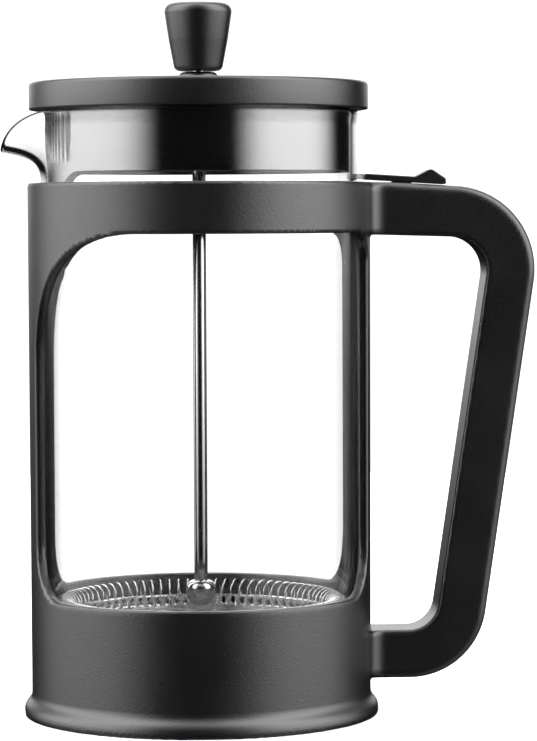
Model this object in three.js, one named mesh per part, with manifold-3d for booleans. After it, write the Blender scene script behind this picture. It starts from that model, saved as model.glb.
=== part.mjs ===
// French press: a glass beaker held in a plastic frame with an integral handle, closed by a lid with a steel
// liner, with a plunger whose spring-edged filter slides inside the glass.
//
// Millimetres, +Z up. The origin is the centre of the frame's underside, on the surface that it stands on.
// The handle is on +X and the pouring spout on -X. The windows of the frame face -Y and +Y.

import * as THREE from "three";
import { mergeVertices } from "three/addons/utils/BufferGeometryUtils.js";
import Module from "manifold-3d";

const wasm = await Module();
wasm.setup();

// ---------------------------------------------------------------------------------------------------------
// Driving dimensions
// ---------------------------------------------------------------------------------------------------------

// Glass beaker
const BEAKER_R = 48.3; // outside of the straight wall
const BEAKER_WALL = 1.9;
const BEAKER_HEIGHT = 179.0; // from the underside of its floor to the rim
const BEAKER_FLOOR = 2.6;
const BEAKER_HEEL = 5.0; // outside radius between floor and wall
const RIM_FLARE = 0.45; // how far the rim stands out of the wall
const RIM_FLARE_HEIGHT = 5.0;

// Spout
const SPOUT_REACH = 12.1; // from the wall to the tip
const SPOUT_DROP = 12.2; // of the rim, from the lid down to the tip
const SPOUT_ROOT = 21.5; // height of wall that bends outwards
const SPOUT_HALF_ANGLE = 30; // degrees, each side of -X

// Frame
const FRAME_WALL = 2.8;
const FRAME_BELOW_RIM = 21.7; // of its top below the rim of the glass
const FRAME_DRAFT = 0.3; // how much the outside grows from the foot to the top
const FOOT_OVERHANG = 2.3; // of the foot past the wall
const FOOT_HEIGHT = 3.3; // of its straight edge
const FOOT_COVE = 2.6; // height of the slope between the foot and the wall
const FOOT_LAND = 5.4; // width of the ring that touches the table
const FLOOR_RECESS = 1.2; // height of the floor's underside above the table
const FLOOR_THICKNESS = 2.4;
const GATE_PAD_R = 9.0; // flat pad in the middle of the underside
const SEAT_HEIGHT = 1.4; // of the ledge that carries the glass, above the floor
const SEAT_WIDTH = 9.0;
const DRAIN_COUNT = 6;
const DRAIN_R = 4.0;
const DRAIN_CIRCLE_R = 24.0;
const WINDOW_HALF_ANGLE = 74.2; // degrees, from -Y and from +Y
const LOWER_BAND = 37.3; // height of the windows' lower edge
const UPPER_BAND = 15.4; // height of the band above the windows
const WINDOW_SPOUT_CORNER = [45.0, 39.0]; // width round the wall and height of the large upper corner
const WINDOW_HANDLE_CORNER = [11.5, 9.0];
const WINDOW_LOWER_CORNER = [15.0, 17.0];
const EDGE_BREAK = 0.5;

// Handle
const HANDLE_WIDTH = 16.0; // along Y
const HANDLE_EDGE = 2.4; // rounding of its long edges
const HANDLE_SPAN = 50.9; // from the wall's outside to the grip's outermost line, at mid height of the corner
const GRIP_THICKNESS = 15.1; // measured level
const GRIP_LEAN = 8.4; // degrees, inwards going down
const UPPER_ARM = 16.1; // height at the wall
const UPPER_ARM_SLOPE = 3.6; // degrees, falling outwards from the end of its level part
const UPPER_ARM_LEVEL = 5.6; // length of the level part beside the band
const UNDERSIDE_SLOPE = 1.7; // degrees
const LOWER_ARM = 14.9;
const LOWER_ARM_Z = 10.5;
const CORNER_TOP_OUTER = 25.6;
const CORNER_TOP_INNER = 10.5;
const CORNER_LOW_OUTER = 23.5;
const CORNER_LOW_INNER = 9.0;

// Latch on the handle
const LATCH_WIDTH = 9.0;
const LATCH_THICKNESS = 1.8;
const LATCH_TRAVEL = 6.0;
const LATCH_BUMP = 4.6; // height of the thumb rest above the handle
const LATCH_LENGTH = 18.0; // from the level part's end to the thumb rest's end
const LATCH_RAMP = 4.6; // length of the slope up to the thumb rest
const LATCH_REST = 5.0; // length of the thumb rest's falling side
const LATCH_EDGE = 0.3;
const LATCH_KEY_START = 1.5; // from the level part's end to the key
const LATCH_KEY_WIDTH = 3.6;
const LATCH_KEY_LENGTH = 6.0;
const LATCH_KEY_DEPTH = 3.0;
const LATCH_FOOT_WIDTH = 6.4;
const LATCH_FOOT_HEIGHT = 1.4;
const PAD_LENGTH = 1.5;
const PAD_INSET = 0.5; // of the pad's sides from the slider's

// Lid
const LID_OVERHANG = 3.4; // of the lid past the glass
const LID_HEIGHT = 8.4; // of its edge
const LID_CROWN = 0.5; // rise of the top towards the middle
const LID_TOP = 2.4; // thickness of the top
const LID_SKIRT = 2.4; // thickness of the skirt
const LID_EDGE = 1.1; // rounding of the upper edge
const LID_SEAT = 5.2; // width of the ring that rests on the rim
const LID_SEAT_HEIGHT = 2.4;
const LINER_SHEET = 0.8;
const LINER_BEND = 2.0; // outside radius between its top and its wall
const LINER_DEPTH = 19.2; // below the lid's skirt
const TONGUE_DEPTH = 27.7; // below the lid's skirt, on the spout side
const TONGUE_HALF_ANGLE = 27; // degrees
const TONGUE_SHOULDER = 9.0; // radius between the tongue's side and the liner's edge
const SLIT_COUNT = 21;
const SLIT_PITCH = 3.1; // degrees
const SLIT_WIDTH = 1.3;
const SLIT_LOW = 15.6; // below the lid's skirt
const SLIT_HIGH = 3.2;

// Bush in the lid
const BUSH_BOSS_R = 5.95;
const BUSH_BOSS_HEIGHT = 2.3;
const BUSH_BOSS_EDGE = 1.5;
const BUSH_SHANK_R = 4.0;
const BUSH_CLIP_R = 7.0;
const BUSH_CLIP_THICKNESS = 0.7;
const BUSH_CLIP_MOUTH = 2.6; // width of the clip's open side
const BUSH_GROOVE = 0.6;
const BUSH_TAIL = 1.6; // of the shank below the clip

// Knob
const KNOB_R = 10.7;
const KNOB_LOW_R = 7.3;
const KNOB_HEIGHT = 20.3;
const KNOB_TOP_EDGE = 2.0;
const KNOB_LOW_EDGE = 1.6;
const KNOB_CROWN = 0.2; // rise of the top towards the middle
const KNOB_NECK = 0.5; // height of the insert that shows below the knob
const INSERT_R = 3.55;
const INSERT_DEPTH = 12.5; // of the insert inside the knob
const INSERT_END = 2.5; // solid end of the insert above the rod

// Plunger rod and filter
const ROD_R = 2.05;
const ROD_END_Z = 13.0; // lower end of the rod
const HUB_R = 4.45;
const HUB_TOP_Z = 40.8;
const HUB_DOME = 3.0;
const HUB_FLANGE_R = 8.0;
const HUB_FLANGE = 1.4;
const PLATE_SHEET = 0.8;
const PLATE_BEND = 2.4; // outside radius between floor and rim
const PLATE_FLOOR_Z = 24.0; // underside of the spring plate's floor
const PLATE_RIM_Z = 31.4;
const PLATE_HOLES = 12;
const PLATE_HOLE_R = 3.2;
const PLATE_HOLE_CIRCLE_R = 30.0;
const COIL_R = 3.7; // outside radius of one turn
const COIL_LOW_Z = 28.9;
const MESH_THICKNESS = 0.6;
const MESH_RIM_RISE = 3.4; // turned-up edge of the mesh
const MESH_BEND = 2.0;
const EYELET_R = 5.2;
const CROSS_PLATE_R = 40.5;
const CROSS_PLATE_THICKNESS = 1.0;
const CROSS_ARM_WIDTH = 9.0;
const CROSS_HUB_R = 12.0;
const CROSS_RIM = 5.0;
const NUT_R = 6.5; // across the corners
const NUT_HEIGHT = 6.0;

// Clearances
const GLASS_IN_FRAME = 0.9;
const SEAT_GAP = 0.3;
const LID_ON_RIM = 0.4;
const LINER_IN_GLASS = 0.4;
const COIL_IN_GLASS = 0.3;
const ROD_IN_BUSH = 0.1;
const PIECE_GAP = 0.3;
const MESH_IN_GLASS = 0.6;
const LATCH_RUN = 0.35; // round the latch's key and foot in the handle

// Fineness
const ROUND = 48; // sides of the large rings
const SMALL = 24; // sides of the small turned pieces
const PAST = 5; // how far a cutter runs past what it cuts
const SHORTEST_STEP = 0.3; // between two columns of a cutter

// ---------------------------------------------------------------------------------------------------------
// Places worked out from them
// ---------------------------------------------------------------------------------------------------------

const BORE_R = BEAKER_R + GLASS_IN_FRAME;
const WALL_R = BORE_R + FRAME_WALL;
const FOOT_R = WALL_R + FOOT_OVERHANG;
const FLOOR_TOP_Z = FLOOR_RECESS + FLOOR_THICKNESS;
const SEAT_Z = FLOOR_TOP_Z + SEAT_HEIGHT;
const BEAKER_Z = SEAT_Z + SEAT_GAP;
const RIM_Z = BEAKER_Z + BEAKER_HEIGHT;
const FRAME_HEIGHT = RIM_Z - FRAME_BELOW_RIM;
const BEAKER_BORE_R = BEAKER_R - BEAKER_WALL;
const WINDOW_TOP_Z = FRAME_HEIGHT - UPPER_BAND;
const LID_R = BEAKER_R + LID_OVERHANG;
const LID_Z = RIM_Z + LID_ON_RIM;
const LID_TOP_Z = LID_Z + LID_HEIGHT;
const LID_UNDER_Z = LID_TOP_Z - LID_TOP;
const LINER_R = BEAKER_BORE_R - LINER_IN_GLASS;
const LINER_TOP_Z = LID_UNDER_Z - PIECE_GAP;
const BUSH_BORE_R = ROD_R + ROD_IN_BUSH;
const BUSH_HOLE_R = BUSH_SHANK_R + PIECE_GAP;
const BOSS_Z = LID_TOP_Z + LID_CROWN + PIECE_GAP;
const BOSS_TOP_Z = BOSS_Z + BUSH_BOSS_HEIGHT;
const CLIP_TOP_Z = LINER_TOP_Z - LINER_SHEET - PIECE_GAP;
const INSERT_Z = BOSS_TOP_Z + PIECE_GAP;
const KNOB_Z = INSERT_Z + KNOB_NECK;
const INSERT_TOP_Z = KNOB_Z + INSERT_DEPTH;
const ROD_TOP_Z = INSERT_TOP_Z - INSERT_END;
const COIL_OUTER_R = BEAKER_BORE_R - COIL_IN_GLASS;
const COIL_CENTRE_R = COIL_OUTER_R - COIL_R;
const PLATE_TOP_Z = PLATE_FLOOR_Z + PLATE_SHEET;
const MESH_Z = PLATE_FLOOR_Z - PIECE_GAP - MESH_THICKNESS;
const CROSS_Z = MESH_Z - PIECE_GAP - CROSS_PLATE_THICKNESS;
const NUT_Z = CROSS_Z - PIECE_GAP - NUT_HEIGHT;

// ---------------------------------------------------------------------------------------------------------
// Solids
// ---------------------------------------------------------------------------------------------------------

const rad = THREE.MathUtils.degToRad;
const smooth = (t) => THREE.MathUtils.smoothstep(t, 0, 1);

function positionsOnly(geometry) {
  geometry.deleteAttribute("normal");
  geometry.deleteAttribute("uv");
  return mergeVertices(geometry, 1e-4);
}

function solid(geometry) {
  const merged = positionsOnly(geometry);
  return new wasm.Manifold(
    new wasm.Mesh({
      numProp: 3,
      vertProperties: merged.attributes.position.array,
      triVerts: new Uint32Array(merged.index.array),
    }),
  );
}

function geometryOf(body) {
  const mesh = body.getMesh();
  const places = new Float32Array(mesh.numVert * 3);
  for (let i = 0; i < mesh.numVert; i++) {
    const from = i * mesh.numProp;
    places.set(mesh.vertProperties.subarray(from, from + 3), i * 3);
  }
  const geometry = new THREE.BufferGeometry();
  geometry.setAttribute("position", new THREE.BufferAttribute(places, 3));
  geometry.setIndex(new THREE.BufferAttribute(mesh.triVerts, 1));
  geometry.computeVertexNormals();
  return geometry;
}

// A solid of revolution about Z. The profile is a list of [radius, height] that starts on the axis, goes up
// round the outside and ends on the axis; with ring set it closes on itself instead.
function turned(profile, sides = ROUND, ring = false) {
  const points = profile.map(([r, z]) => new THREE.Vector2(Math.max(r, 0), z));
  if (ring) points.push(points[0].clone());
  return new THREE.LatheGeometry(points, sides).rotateX(Math.PI / 2);
}

function block(width, depth, height, x, y, z) {
  return new THREE.BoxGeometry(width, depth, height).translate(x, y, z);
}

// Points of an arc in a profile, from one angle to another, in degrees.
function arc(r, z, radius, from, to, steps) {
  const points = [];
  for (let i = 0; i <= steps; i++) {
    const a = rad(from + ((to - from) * i) / steps);
    points.push([r + radius * Math.cos(a), z + radius * Math.sin(a)]);
  }
  return points;
}

// A closed outline from corners [x, y, radius], each rounded by an arc that touches both its sides.
function roundedShape(corners) {
  const shape = new THREE.Shape();
  const at = (i) => new THREE.Vector2(...corners[(i + corners.length) % corners.length]);
  corners.forEach(([, , radius = 0], i) => {
    const here = at(i);
    const back = at(i - 1).sub(here).normalize();
    const on = at(i + 1).sub(here).normalize();
    const half = Math.acos(THREE.MathUtils.clamp(back.dot(on), -1, 1)) / 2;
    const reach = radius / Math.tan(half);
    const start = here.clone().addScaledVector(back, reach);
    if (i === 0) shape.moveTo(start.x, start.y);
    else shape.lineTo(start.x, start.y);
    if (radius === 0) return;
    const middle = back.clone().add(on).normalize();
    const centre = here.clone().addScaledVector(middle, radius / Math.sin(half));
    const end = here.clone().addScaledVector(on, reach);
    const a0 = Math.atan2(start.y - centre.y, start.x - centre.x);
    const a1 = Math.atan2(end.y - centre.y, end.x - centre.x);
    shape.absarc(centre.x, centre.y, radius, a0, a1, back.cross(on) > 0);
  });
  shape.closePath();
  return shape;
}

// A shape drawn in X and Z, extruded evenly to both sides of Y = 0, with rounded long edges.
function slab(shape, width, edge, edgeSteps, curveSegments) {
  const geometry = new THREE.ExtrudeGeometry(shape, {
    depth: width - 2 * edge,
    bevelThickness: edge,
    bevelSize: edge,
    bevelOffset: -edge,
    bevelSegments: edgeSteps,
    curveSegments,
  });
  return geometry.translate(0, 0, -(width - 2 * edge) / 2).rotateX(Math.PI / 2);
}

// A closed surface from a grid of points: rows run from one pole to the other, columns go once round Z.
function loft(rows, angles, pointAt) {
  const places = [];
  const faces = [];
  for (let i = 0; i < rows; i++) {
    for (const angle of angles) places.push(...pointAt(i, angle));
  }
  const n = angles.length;
  for (let i = 0; i + 1 < rows; i++) {
    for (let j = 0; j < n; j++) {
      const k = (j + 1) % n;
      const [a, b, c, d] = [i * n + j, i * n + k, (i + 1) * n + k, (i + 1) * n + j];
      if (i > 0) faces.push(a, b, c);
      if (i + 2 < rows) faces.push(a, c, d);
    }
  }
  const geometry = new THREE.BufferGeometry();
  geometry.setAttribute("position", new THREE.Float32BufferAttribute(places, 3));
  geometry.setIndex(faces);
  return geometry;
}

// ---------------------------------------------------------------------------------------------------------
// Frame
// ---------------------------------------------------------------------------------------------------------

function frameOutside() {
  return turned([
    [0, 0],
    [GATE_PAD_R, 0],
    [GATE_PAD_R, FLOOR_RECESS],
    [FOOT_R - FOOT_LAND, FLOOR_RECESS],
    [FOOT_R - FOOT_LAND, 0],
    [FOOT_R - EDGE_BREAK, 0],
    [FOOT_R, EDGE_BREAK],
    [FOOT_R, FOOT_HEIGHT],
    ...arc(FOOT_R - FOOT_COVE / 2, FOOT_HEIGHT, FOOT_COVE / 2, 25, 75, 2),
    [WALL_R, FOOT_HEIGHT + FOOT_COVE],
    [WALL_R + FRAME_DRAFT, FRAME_HEIGHT - EDGE_BREAK],
    [WALL_R + FRAME_DRAFT - EDGE_BREAK, FRAME_HEIGHT],
    [0, FRAME_HEIGHT],
  ]);
}

function frameInside() {
  const ledgeR = BORE_R - SEAT_WIDTH;
  return turned([
    [0, FLOOR_TOP_Z],
    [ledgeR, FLOOR_TOP_Z],
    [ledgeR, SEAT_Z],
    [BORE_R, SEAT_Z],
    [BORE_R, FRAME_HEIGHT - EDGE_BREAK],
    [BORE_R + EDGE_BREAK, FRAME_HEIGHT],
    [BORE_R + EDGE_BREAK, FRAME_HEIGHT + PAST],
    [0, FRAME_HEIGHT + PAST],
  ]);
}

// How far a window's edge stands in from its straight line at a distance along it from the window's side.
function cornerInset(distance, [width, height]) {
  if (distance >= width) return 0;
  const share = Math.min((width - distance) / width, 1);
  return height * (1 - Math.sqrt(1 - share * share));
}

// A curved block round Z with one column at each distance along the wall, counted from a starting angle.
function curvedBlock(along, wallR, start, [inner, outer], low, high) {
  const places = [];
  const faces = [];
  const quad = (a, b, c, d) => faces.push(a, b, c, a, c, d);
  for (const u of along) {
    const angle = start + u / wallR;
    for (const [r, z] of [
      [inner, low(u)],
      [outer, low(u)],
      [outer, high(u)],
      [inner, high(u)],
    ]) {
      places.push(r * Math.cos(angle), r * Math.sin(angle), z);
    }
  }
  for (let i = 0; i + 1 < along.length; i++) {
    const [a, b] = [4 * i, 4 * i + 4];
    for (let k = 0; k < 4; k++) {
      const next = (k + 1) % 4;
      quad(a + k, b + k, b + next, a + next);
    }
  }
  const last = 4 * (along.length - 1);
  quad(0, 1, 2, 3);
  quad(last + 3, last + 2, last + 1, last);
  const geometry = new THREE.BufferGeometry();
  geometry.setAttribute("position", new THREE.Float32BufferAttribute(places, 3));
  geometry.setIndex(faces);
  return geometry;
}

// Distances from a corner's end to its start, closer together where its curve is steeper.
function cornerSteps([width], steps) {
  const list = [];
  for (let i = 1; i < steps; i++) list.push(width * (1 - Math.cos((i * Math.PI) / (2 * steps))));
  return list;
}

// The cutter of the window on the -Y side.
function windowCutter() {
  const half = rad(WINDOW_HALF_ANGLE) * WALL_R;
  const columns = 16;
  const stations = [half];
  for (let i = 0; i < columns; i++) stations.push(-half + (2 * half * i) / columns);
  for (const u of [...cornerSteps(WINDOW_SPOUT_CORNER, 7), ...cornerSteps(WINDOW_LOWER_CORNER, 5)]) {
    stations.push(u - half);
  }
  for (const u of [...cornerSteps(WINDOW_HANDLE_CORNER, 4), ...cornerSteps(WINDOW_LOWER_CORNER, 5)]) {
    stations.push(half - u);
  }
  const ordered = stations.sort((a, b) => a - b);
  const along = ordered.filter((u, i) => i === 0 || u - ordered[i - 1] > SHORTEST_STEP);
  const low = (u) => LOWER_BAND + cornerInset(half - Math.abs(u), WINDOW_LOWER_CORNER);
  const high = (u) => {
    const fromSpout = cornerInset(half + u, WINDOW_SPOUT_CORNER);
    return WINDOW_TOP_Z - fromSpout - cornerInset(half - u, WINDOW_HANDLE_CORNER);
  };
  return curvedBlock(along, WALL_R, -Math.PI / 2, [BORE_R - PAST, FOOT_R + PAST], low, high);
}

const GRIP_TAN = Math.tan(rad(GRIP_LEAN));
const GRIP_OUTER_X = WALL_R + HANDLE_SPAN; // of the grip's outer line, at the height below
const GRIP_REFERENCE_Z = FRAME_HEIGHT - CORNER_TOP_OUTER;
const LEVEL_END_X = WALL_R + UPPER_ARM_LEVEL;

// The handle's outline: the outer line from the upper arm down to the lower arm, then the finger gap's edge.
function handleShape() {
  const outer = (z) => GRIP_OUTER_X - (GRIP_REFERENCE_Z - z) * GRIP_TAN;
  const inner = (z) => outer(z) - GRIP_THICKNESS;
  const topZ = (x) => FRAME_HEIGHT - (x - LEVEL_END_X) * Math.tan(rad(UPPER_ARM_SLOPE));
  const underZ = (x) => FRAME_HEIGHT - UPPER_ARM - (x - WALL_R) * Math.tan(rad(UNDERSIDE_SLOPE));
  const lowTopZ = LOWER_ARM_Z + LOWER_ARM;
  const rootX = BORE_R - 2;
  const topX = outer(topZ(GRIP_OUTER_X));
  const underX = inner(underZ(GRIP_OUTER_X - GRIP_THICKNESS));
  return roundedShape([
    [rootX, FRAME_HEIGHT, 0],
    [LEVEL_END_X, FRAME_HEIGHT, 0],
    [topX, topZ(topX), CORNER_TOP_OUTER],
    [outer(LOWER_ARM_Z), LOWER_ARM_Z, CORNER_LOW_OUTER],
    [rootX, LOWER_ARM_Z, 0],
    [rootX, lowTopZ, 0],
    [inner(lowTopZ), lowTopZ, CORNER_LOW_INNER],
    [underX, underZ(underX), CORNER_TOP_INNER],
    [rootX, underZ(rootX), 0],
  ]);
}

// The latch and its slot are drawn from the end of the upper arm's level part: X along the sloping top of the
// arm, Z square to it.
const onUpperArm = new THREE.Matrix4()
  .makeTranslation(LEVEL_END_X, 0, FRAME_HEIGHT)
  .multiply(new THREE.Matrix4().makeRotationY(rad(UPPER_ARM_SLOPE)));

function latchSlot() {
  const neck = LATCH_KEY_WIDTH + 2 * LATCH_RUN;
  const under = LATCH_FOOT_WIDTH + 2 * LATCH_RUN;
  const length = LATCH_KEY_LENGTH + LATCH_TRAVEL + 2 * LATCH_RUN;
  const depth = LATCH_KEY_DEPTH + LATCH_RUN;
  const footRoom = LATCH_FOOT_HEIGHT + 2 * LATCH_RUN;
  const middle = LATCH_KEY_START - LATCH_RUN + length / 2;
  const shaft = solid(block(length, neck, depth + PAST, middle, 0, (PAST - depth) / 2));
  const foot = solid(block(length, under, footRoom, middle, 0, -depth + footRoom / 2));
  return geometryOf(shaft.add(foot)).applyMatrix4(onUpperArm);
}

function drains() {
  const holes = [];
  for (let i = 0; i < DRAIN_COUNT; i++) {
    const angle = ((i + 0.5) * 2 * Math.PI) / DRAIN_COUNT;
    const hole = turned(
      [
        [0, -PAST],
        [DRAIN_R, -PAST],
        [DRAIN_R, FLOOR_TOP_Z + PAST],
        [0, FLOOR_TOP_Z + PAST],
      ],
      SMALL / 2,
    );
    holes.push(hole.translate(DRAIN_CIRCLE_R * Math.cos(angle), DRAIN_CIRCLE_R * Math.sin(angle), 0));
  }
  return holes;
}

function frameGeometry() {
  let body = solid(frameOutside()).add(solid(slab(handleShape(), HANDLE_WIDTH, HANDLE_EDGE, 3, 5)));
  const front = windowCutter();
  const back = windowCutter().scale(1, -1, 1);
  back.index.array.reverse();
  for (const cutter of [frameInside(), front, back, latchSlot(), ...drains()]) {
    body = body.subtract(solid(cutter));
  }
  return geometryOf(body);
}

// ---------------------------------------------------------------------------------------------------------
// Beaker
// ---------------------------------------------------------------------------------------------------------

const SPOUT_ROOT_Z = RIM_Z - SPOUT_ROOT;

// The line of the spout's underside in its own middle: straight up the wall, then out to the tip.
const spoutLine = new THREE.CubicBezierCurve(
  new THREE.Vector2(0, SPOUT_ROOT_Z),
  new THREE.Vector2(0, SPOUT_ROOT_Z + 0.3 * SPOUT_ROOT),
  new THREE.Vector2(0.22 * SPOUT_REACH, RIM_Z - 1.15 * SPOUT_DROP),
  new THREE.Vector2(SPOUT_REACH, RIM_Z - SPOUT_DROP),
);

// Outside of the glass above its heel, as [radius, height], at a height of the plain wall and an angle from
// the spout's middle.
function glassOutside(z, fromSpout) {
  const flare = RIM_FLARE * smooth((z - RIM_Z + RIM_FLARE_HEIGHT) / RIM_FLARE_HEIGHT);
  const aside = Math.min(Math.abs(fromSpout) / rad(SPOUT_HALF_ANGLE), 1);
  const bell = Math.cos((aside * Math.PI) / 2) ** 2;
  const share = THREE.MathUtils.clamp((z - SPOUT_ROOT_Z) / SPOUT_ROOT, 0, 1);
  const lip = spoutLine.getPoint(share);
  const outward = bell * (2 - bell);
  const downward = bell ** 1.5;
  return [BEAKER_R + flare + lip.x * outward, z + (lip.y - z) * downward * (share > 0 ? 1 : 0)];
}

// A point of the wall at a depth from the outside (0) to the inside (1), past the edge by an overshoot.
function glassWall(z, fromSpout, depth, overshoot = 0) {
  const step = 0.05;
  const [r0, z0] = glassOutside(z - step, fromSpout);
  const [r1, z1] = glassOutside(z, fromSpout);
  const length = Math.hypot(r1 - r0, z1 - z0);
  const [alongR, alongZ] = [(r1 - r0) / length, (z1 - z0) / length];
  const inset = depth * BEAKER_WALL;
  return [r1 - alongZ * inset + alongR * overshoot, z1 + alongR * inset + alongZ * overshoot];
}

function beakerGeometry() {
  const levels = [];
  const levelSteps = 7;
  const spoutHeight = SPOUT_ROOT - BEAKER_WALL / 2;
  for (let i = 0; i <= levelSteps; i++) levels.push(SPOUT_ROOT_Z + (spoutHeight * i) / levelSteps);
  const heel = arc(BEAKER_R - BEAKER_HEEL, BEAKER_Z + BEAKER_HEEL, BEAKER_HEEL, -90, 0, 3);
  const floorZ = BEAKER_Z + BEAKER_FLOOR;
  const innerHeel = BEAKER_HEEL - BEAKER_WALL;
  const inside = arc(BEAKER_BORE_R - innerHeel, floorZ + innerHeel, innerHeel, 0, -90, 2);
  const top = levels[levels.length - 1];
  const rows = [
    () => [0, BEAKER_Z],
    ...heel.map((p) => () => p),
    ...levels.map((z) => (a) => glassWall(z, a, 0)),
    ...[1, 2, 3].map((k) => (a) => {
      const turn = (k * Math.PI) / 4;
      return glassWall(top, a, (1 - Math.cos(turn)) / 2, (BEAKER_WALL / 2) * Math.sin(turn));
    }),
    ...levels.reverse().map((z) => (a) => glassWall(z, a, 1)),
    ...inside.map((p) => () => p),
    () => [0, floorZ],
  ];
  const angles = [];
  for (let a = -SPOUT_HALF_ANGLE; a < SPOUT_HALF_ANGLE; a += 3) angles.push(rad(a));
  for (let a = SPOUT_HALF_ANGLE; a < 360 - SPOUT_HALF_ANGLE; a += 7.5) angles.push(rad(a));
  return loft(rows.length, angles, (i, angle) => {
    const fromSpout = angle > Math.PI ? angle - 2 * Math.PI : angle;
    const [r, z] = rows[i](fromSpout);
    return [-r * Math.cos(angle), -r * Math.sin(angle), z];
  });
}

// ---------------------------------------------------------------------------------------------------------
// Latch
// ---------------------------------------------------------------------------------------------------------

const PAD_FRONT_X = BEAKER_R + PIECE_GAP;
const LATCH_FRONT = (PAD_FRONT_X + PAD_LENGTH - LEVEL_END_X) / Math.cos(rad(UPPER_ARM_SLOPE));

function latchGeometry() {
  const low = PIECE_GAP;
  const high = low + LATCH_THICKNESS;
  const peak = low + LATCH_BUMP;
  const plate = roundedShape([
    [LATCH_FRONT + PIECE_GAP, low, 0],
    [LATCH_FRONT + PIECE_GAP, high, 2 * LATCH_EDGE],
    [LATCH_LENGTH - LATCH_REST - LATCH_RAMP, high, LATCH_THICKNESS],
    [LATCH_LENGTH - LATCH_REST, peak, LATCH_THICKNESS],
    [LATCH_LENGTH - LATCH_EDGE, high, 2 * LATCH_EDGE],
    [LATCH_LENGTH, low, 2 * LATCH_EDGE],
  ]);
  const keyMiddle = LATCH_KEY_START + LATCH_KEY_LENGTH / 2;
  const keyHeight = LATCH_KEY_DEPTH + low + LATCH_THICKNESS / 2;
  const keyZ = -LATCH_KEY_DEPTH + keyHeight / 2;
  const key = block(LATCH_KEY_LENGTH, LATCH_KEY_WIDTH, keyHeight, keyMiddle, 0, keyZ);
  const footZ = -LATCH_KEY_DEPTH + LATCH_FOOT_HEIGHT / 2;
  const foot = block(LATCH_KEY_LENGTH, LATCH_FOOT_WIDTH, LATCH_FOOT_HEIGHT, keyMiddle, 0, footZ);
  const body = solid(slab(plate, LATCH_WIDTH, LATCH_EDGE, 2, 4)).add(solid(key)).add(solid(foot));
  return geometryOf(body);
}

function latchPadGeometry() {
  const middle = LATCH_FRONT - PAD_LENGTH / 2;
  const width = LATCH_WIDTH - 2 * PAD_INSET;
  const height = LATCH_THICKNESS - LATCH_EDGE;
  return block(PAD_LENGTH, width, height, middle, 0, PIECE_GAP + LATCH_THICKNESS / 2);
}

// ---------------------------------------------------------------------------------------------------------
// Lid
// ---------------------------------------------------------------------------------------------------------

function lidCapGeometry() {
  const seatR = LID_R - LID_SEAT;
  return turned(
    [
      [BUSH_HOLE_R, LID_UNDER_Z],
      [LID_R - LID_SKIRT, LID_UNDER_Z],
      [LID_R - LID_SKIRT, LID_Z + LID_SEAT_HEIGHT],
      [seatR, LID_Z + LID_SEAT_HEIGHT],
      [seatR, LID_Z],
      [LID_R - EDGE_BREAK, LID_Z],
      [LID_R, LID_Z + EDGE_BREAK],
      ...arc(LID_R - LID_EDGE, LID_TOP_Z - LID_EDGE, LID_EDGE, 0, 84, 3),
      [LID_R / 2, LID_TOP_Z + 0.8 * LID_CROWN],
      [BUSH_HOLE_R, LID_TOP_Z + LID_CROWN],
    ],
    ROUND,
    true,
  );
}

// The cutter that shapes the liner's lower edge: everything below the edge, outside the tongue's sector.
function linerEdgeCutter() {
  const half = rad(TONGUE_HALF_ANGLE) * LINER_R;
  const round = 2 * Math.PI * LINER_R;
  const straight = half + TONGUE_SHOULDER;
  const columns = 16;
  const stations = [half, ...cornerSteps([TONGUE_SHOULDER], 5).map((u) => half + u)];
  for (let i = 0; i <= columns; i++) stations.push(straight + ((round / 2 - straight) * i) / columns);
  const mirrored = stations.slice(0, -1).reverse().map((u) => round - u);
  const corner = [TONGUE_SHOULDER, TONGUE_SHOULDER];
  const low = () => LID_Z - TONGUE_DEPTH - PAST;
  const high = (u) => LID_Z - LINER_DEPTH - cornerInset(Math.min(u, round - u) - half, corner);
  const along = [...stations, ...mirrored];
  return curvedBlock(along, LINER_R, Math.PI, [LINER_R - PAST, LINER_R + PAST], low, high);
}

function linerGeometry() {
  const insideR = LINER_R - LINER_SHEET;
  const low = LID_Z - TONGUE_DEPTH;
  const bend = [LINER_R - LINER_BEND, LINER_TOP_Z - LINER_BEND];
  let body = solid(
    turned(
      [
        [BUSH_HOLE_R, LINER_TOP_Z - LINER_SHEET],
        ...arc(...bend, LINER_BEND - LINER_SHEET, 90, 0, 2),
        [insideR, low],
        [LINER_R, low],
        ...arc(...bend, LINER_BEND, 0, 90, 3),
        [BUSH_HOLE_R, LINER_TOP_Z],
      ],
      ROUND,
      true,
    ),
  );
  body = body.subtract(solid(linerEdgeCutter()));
  const slitHeight = SLIT_LOW - SLIT_HIGH;
  for (let i = 0; i < SLIT_COUNT; i++) {
    const angle = rad((i - (SLIT_COUNT - 1) / 2) * SLIT_PITCH);
    const slit = block(PAST, SLIT_WIDTH, slitHeight, -LINER_R, 0, LID_Z - (SLIT_LOW + SLIT_HIGH) / 2);
    body = body.subtract(solid(slit.rotateZ(angle)));
  }
  return geometryOf(body);
}

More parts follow.
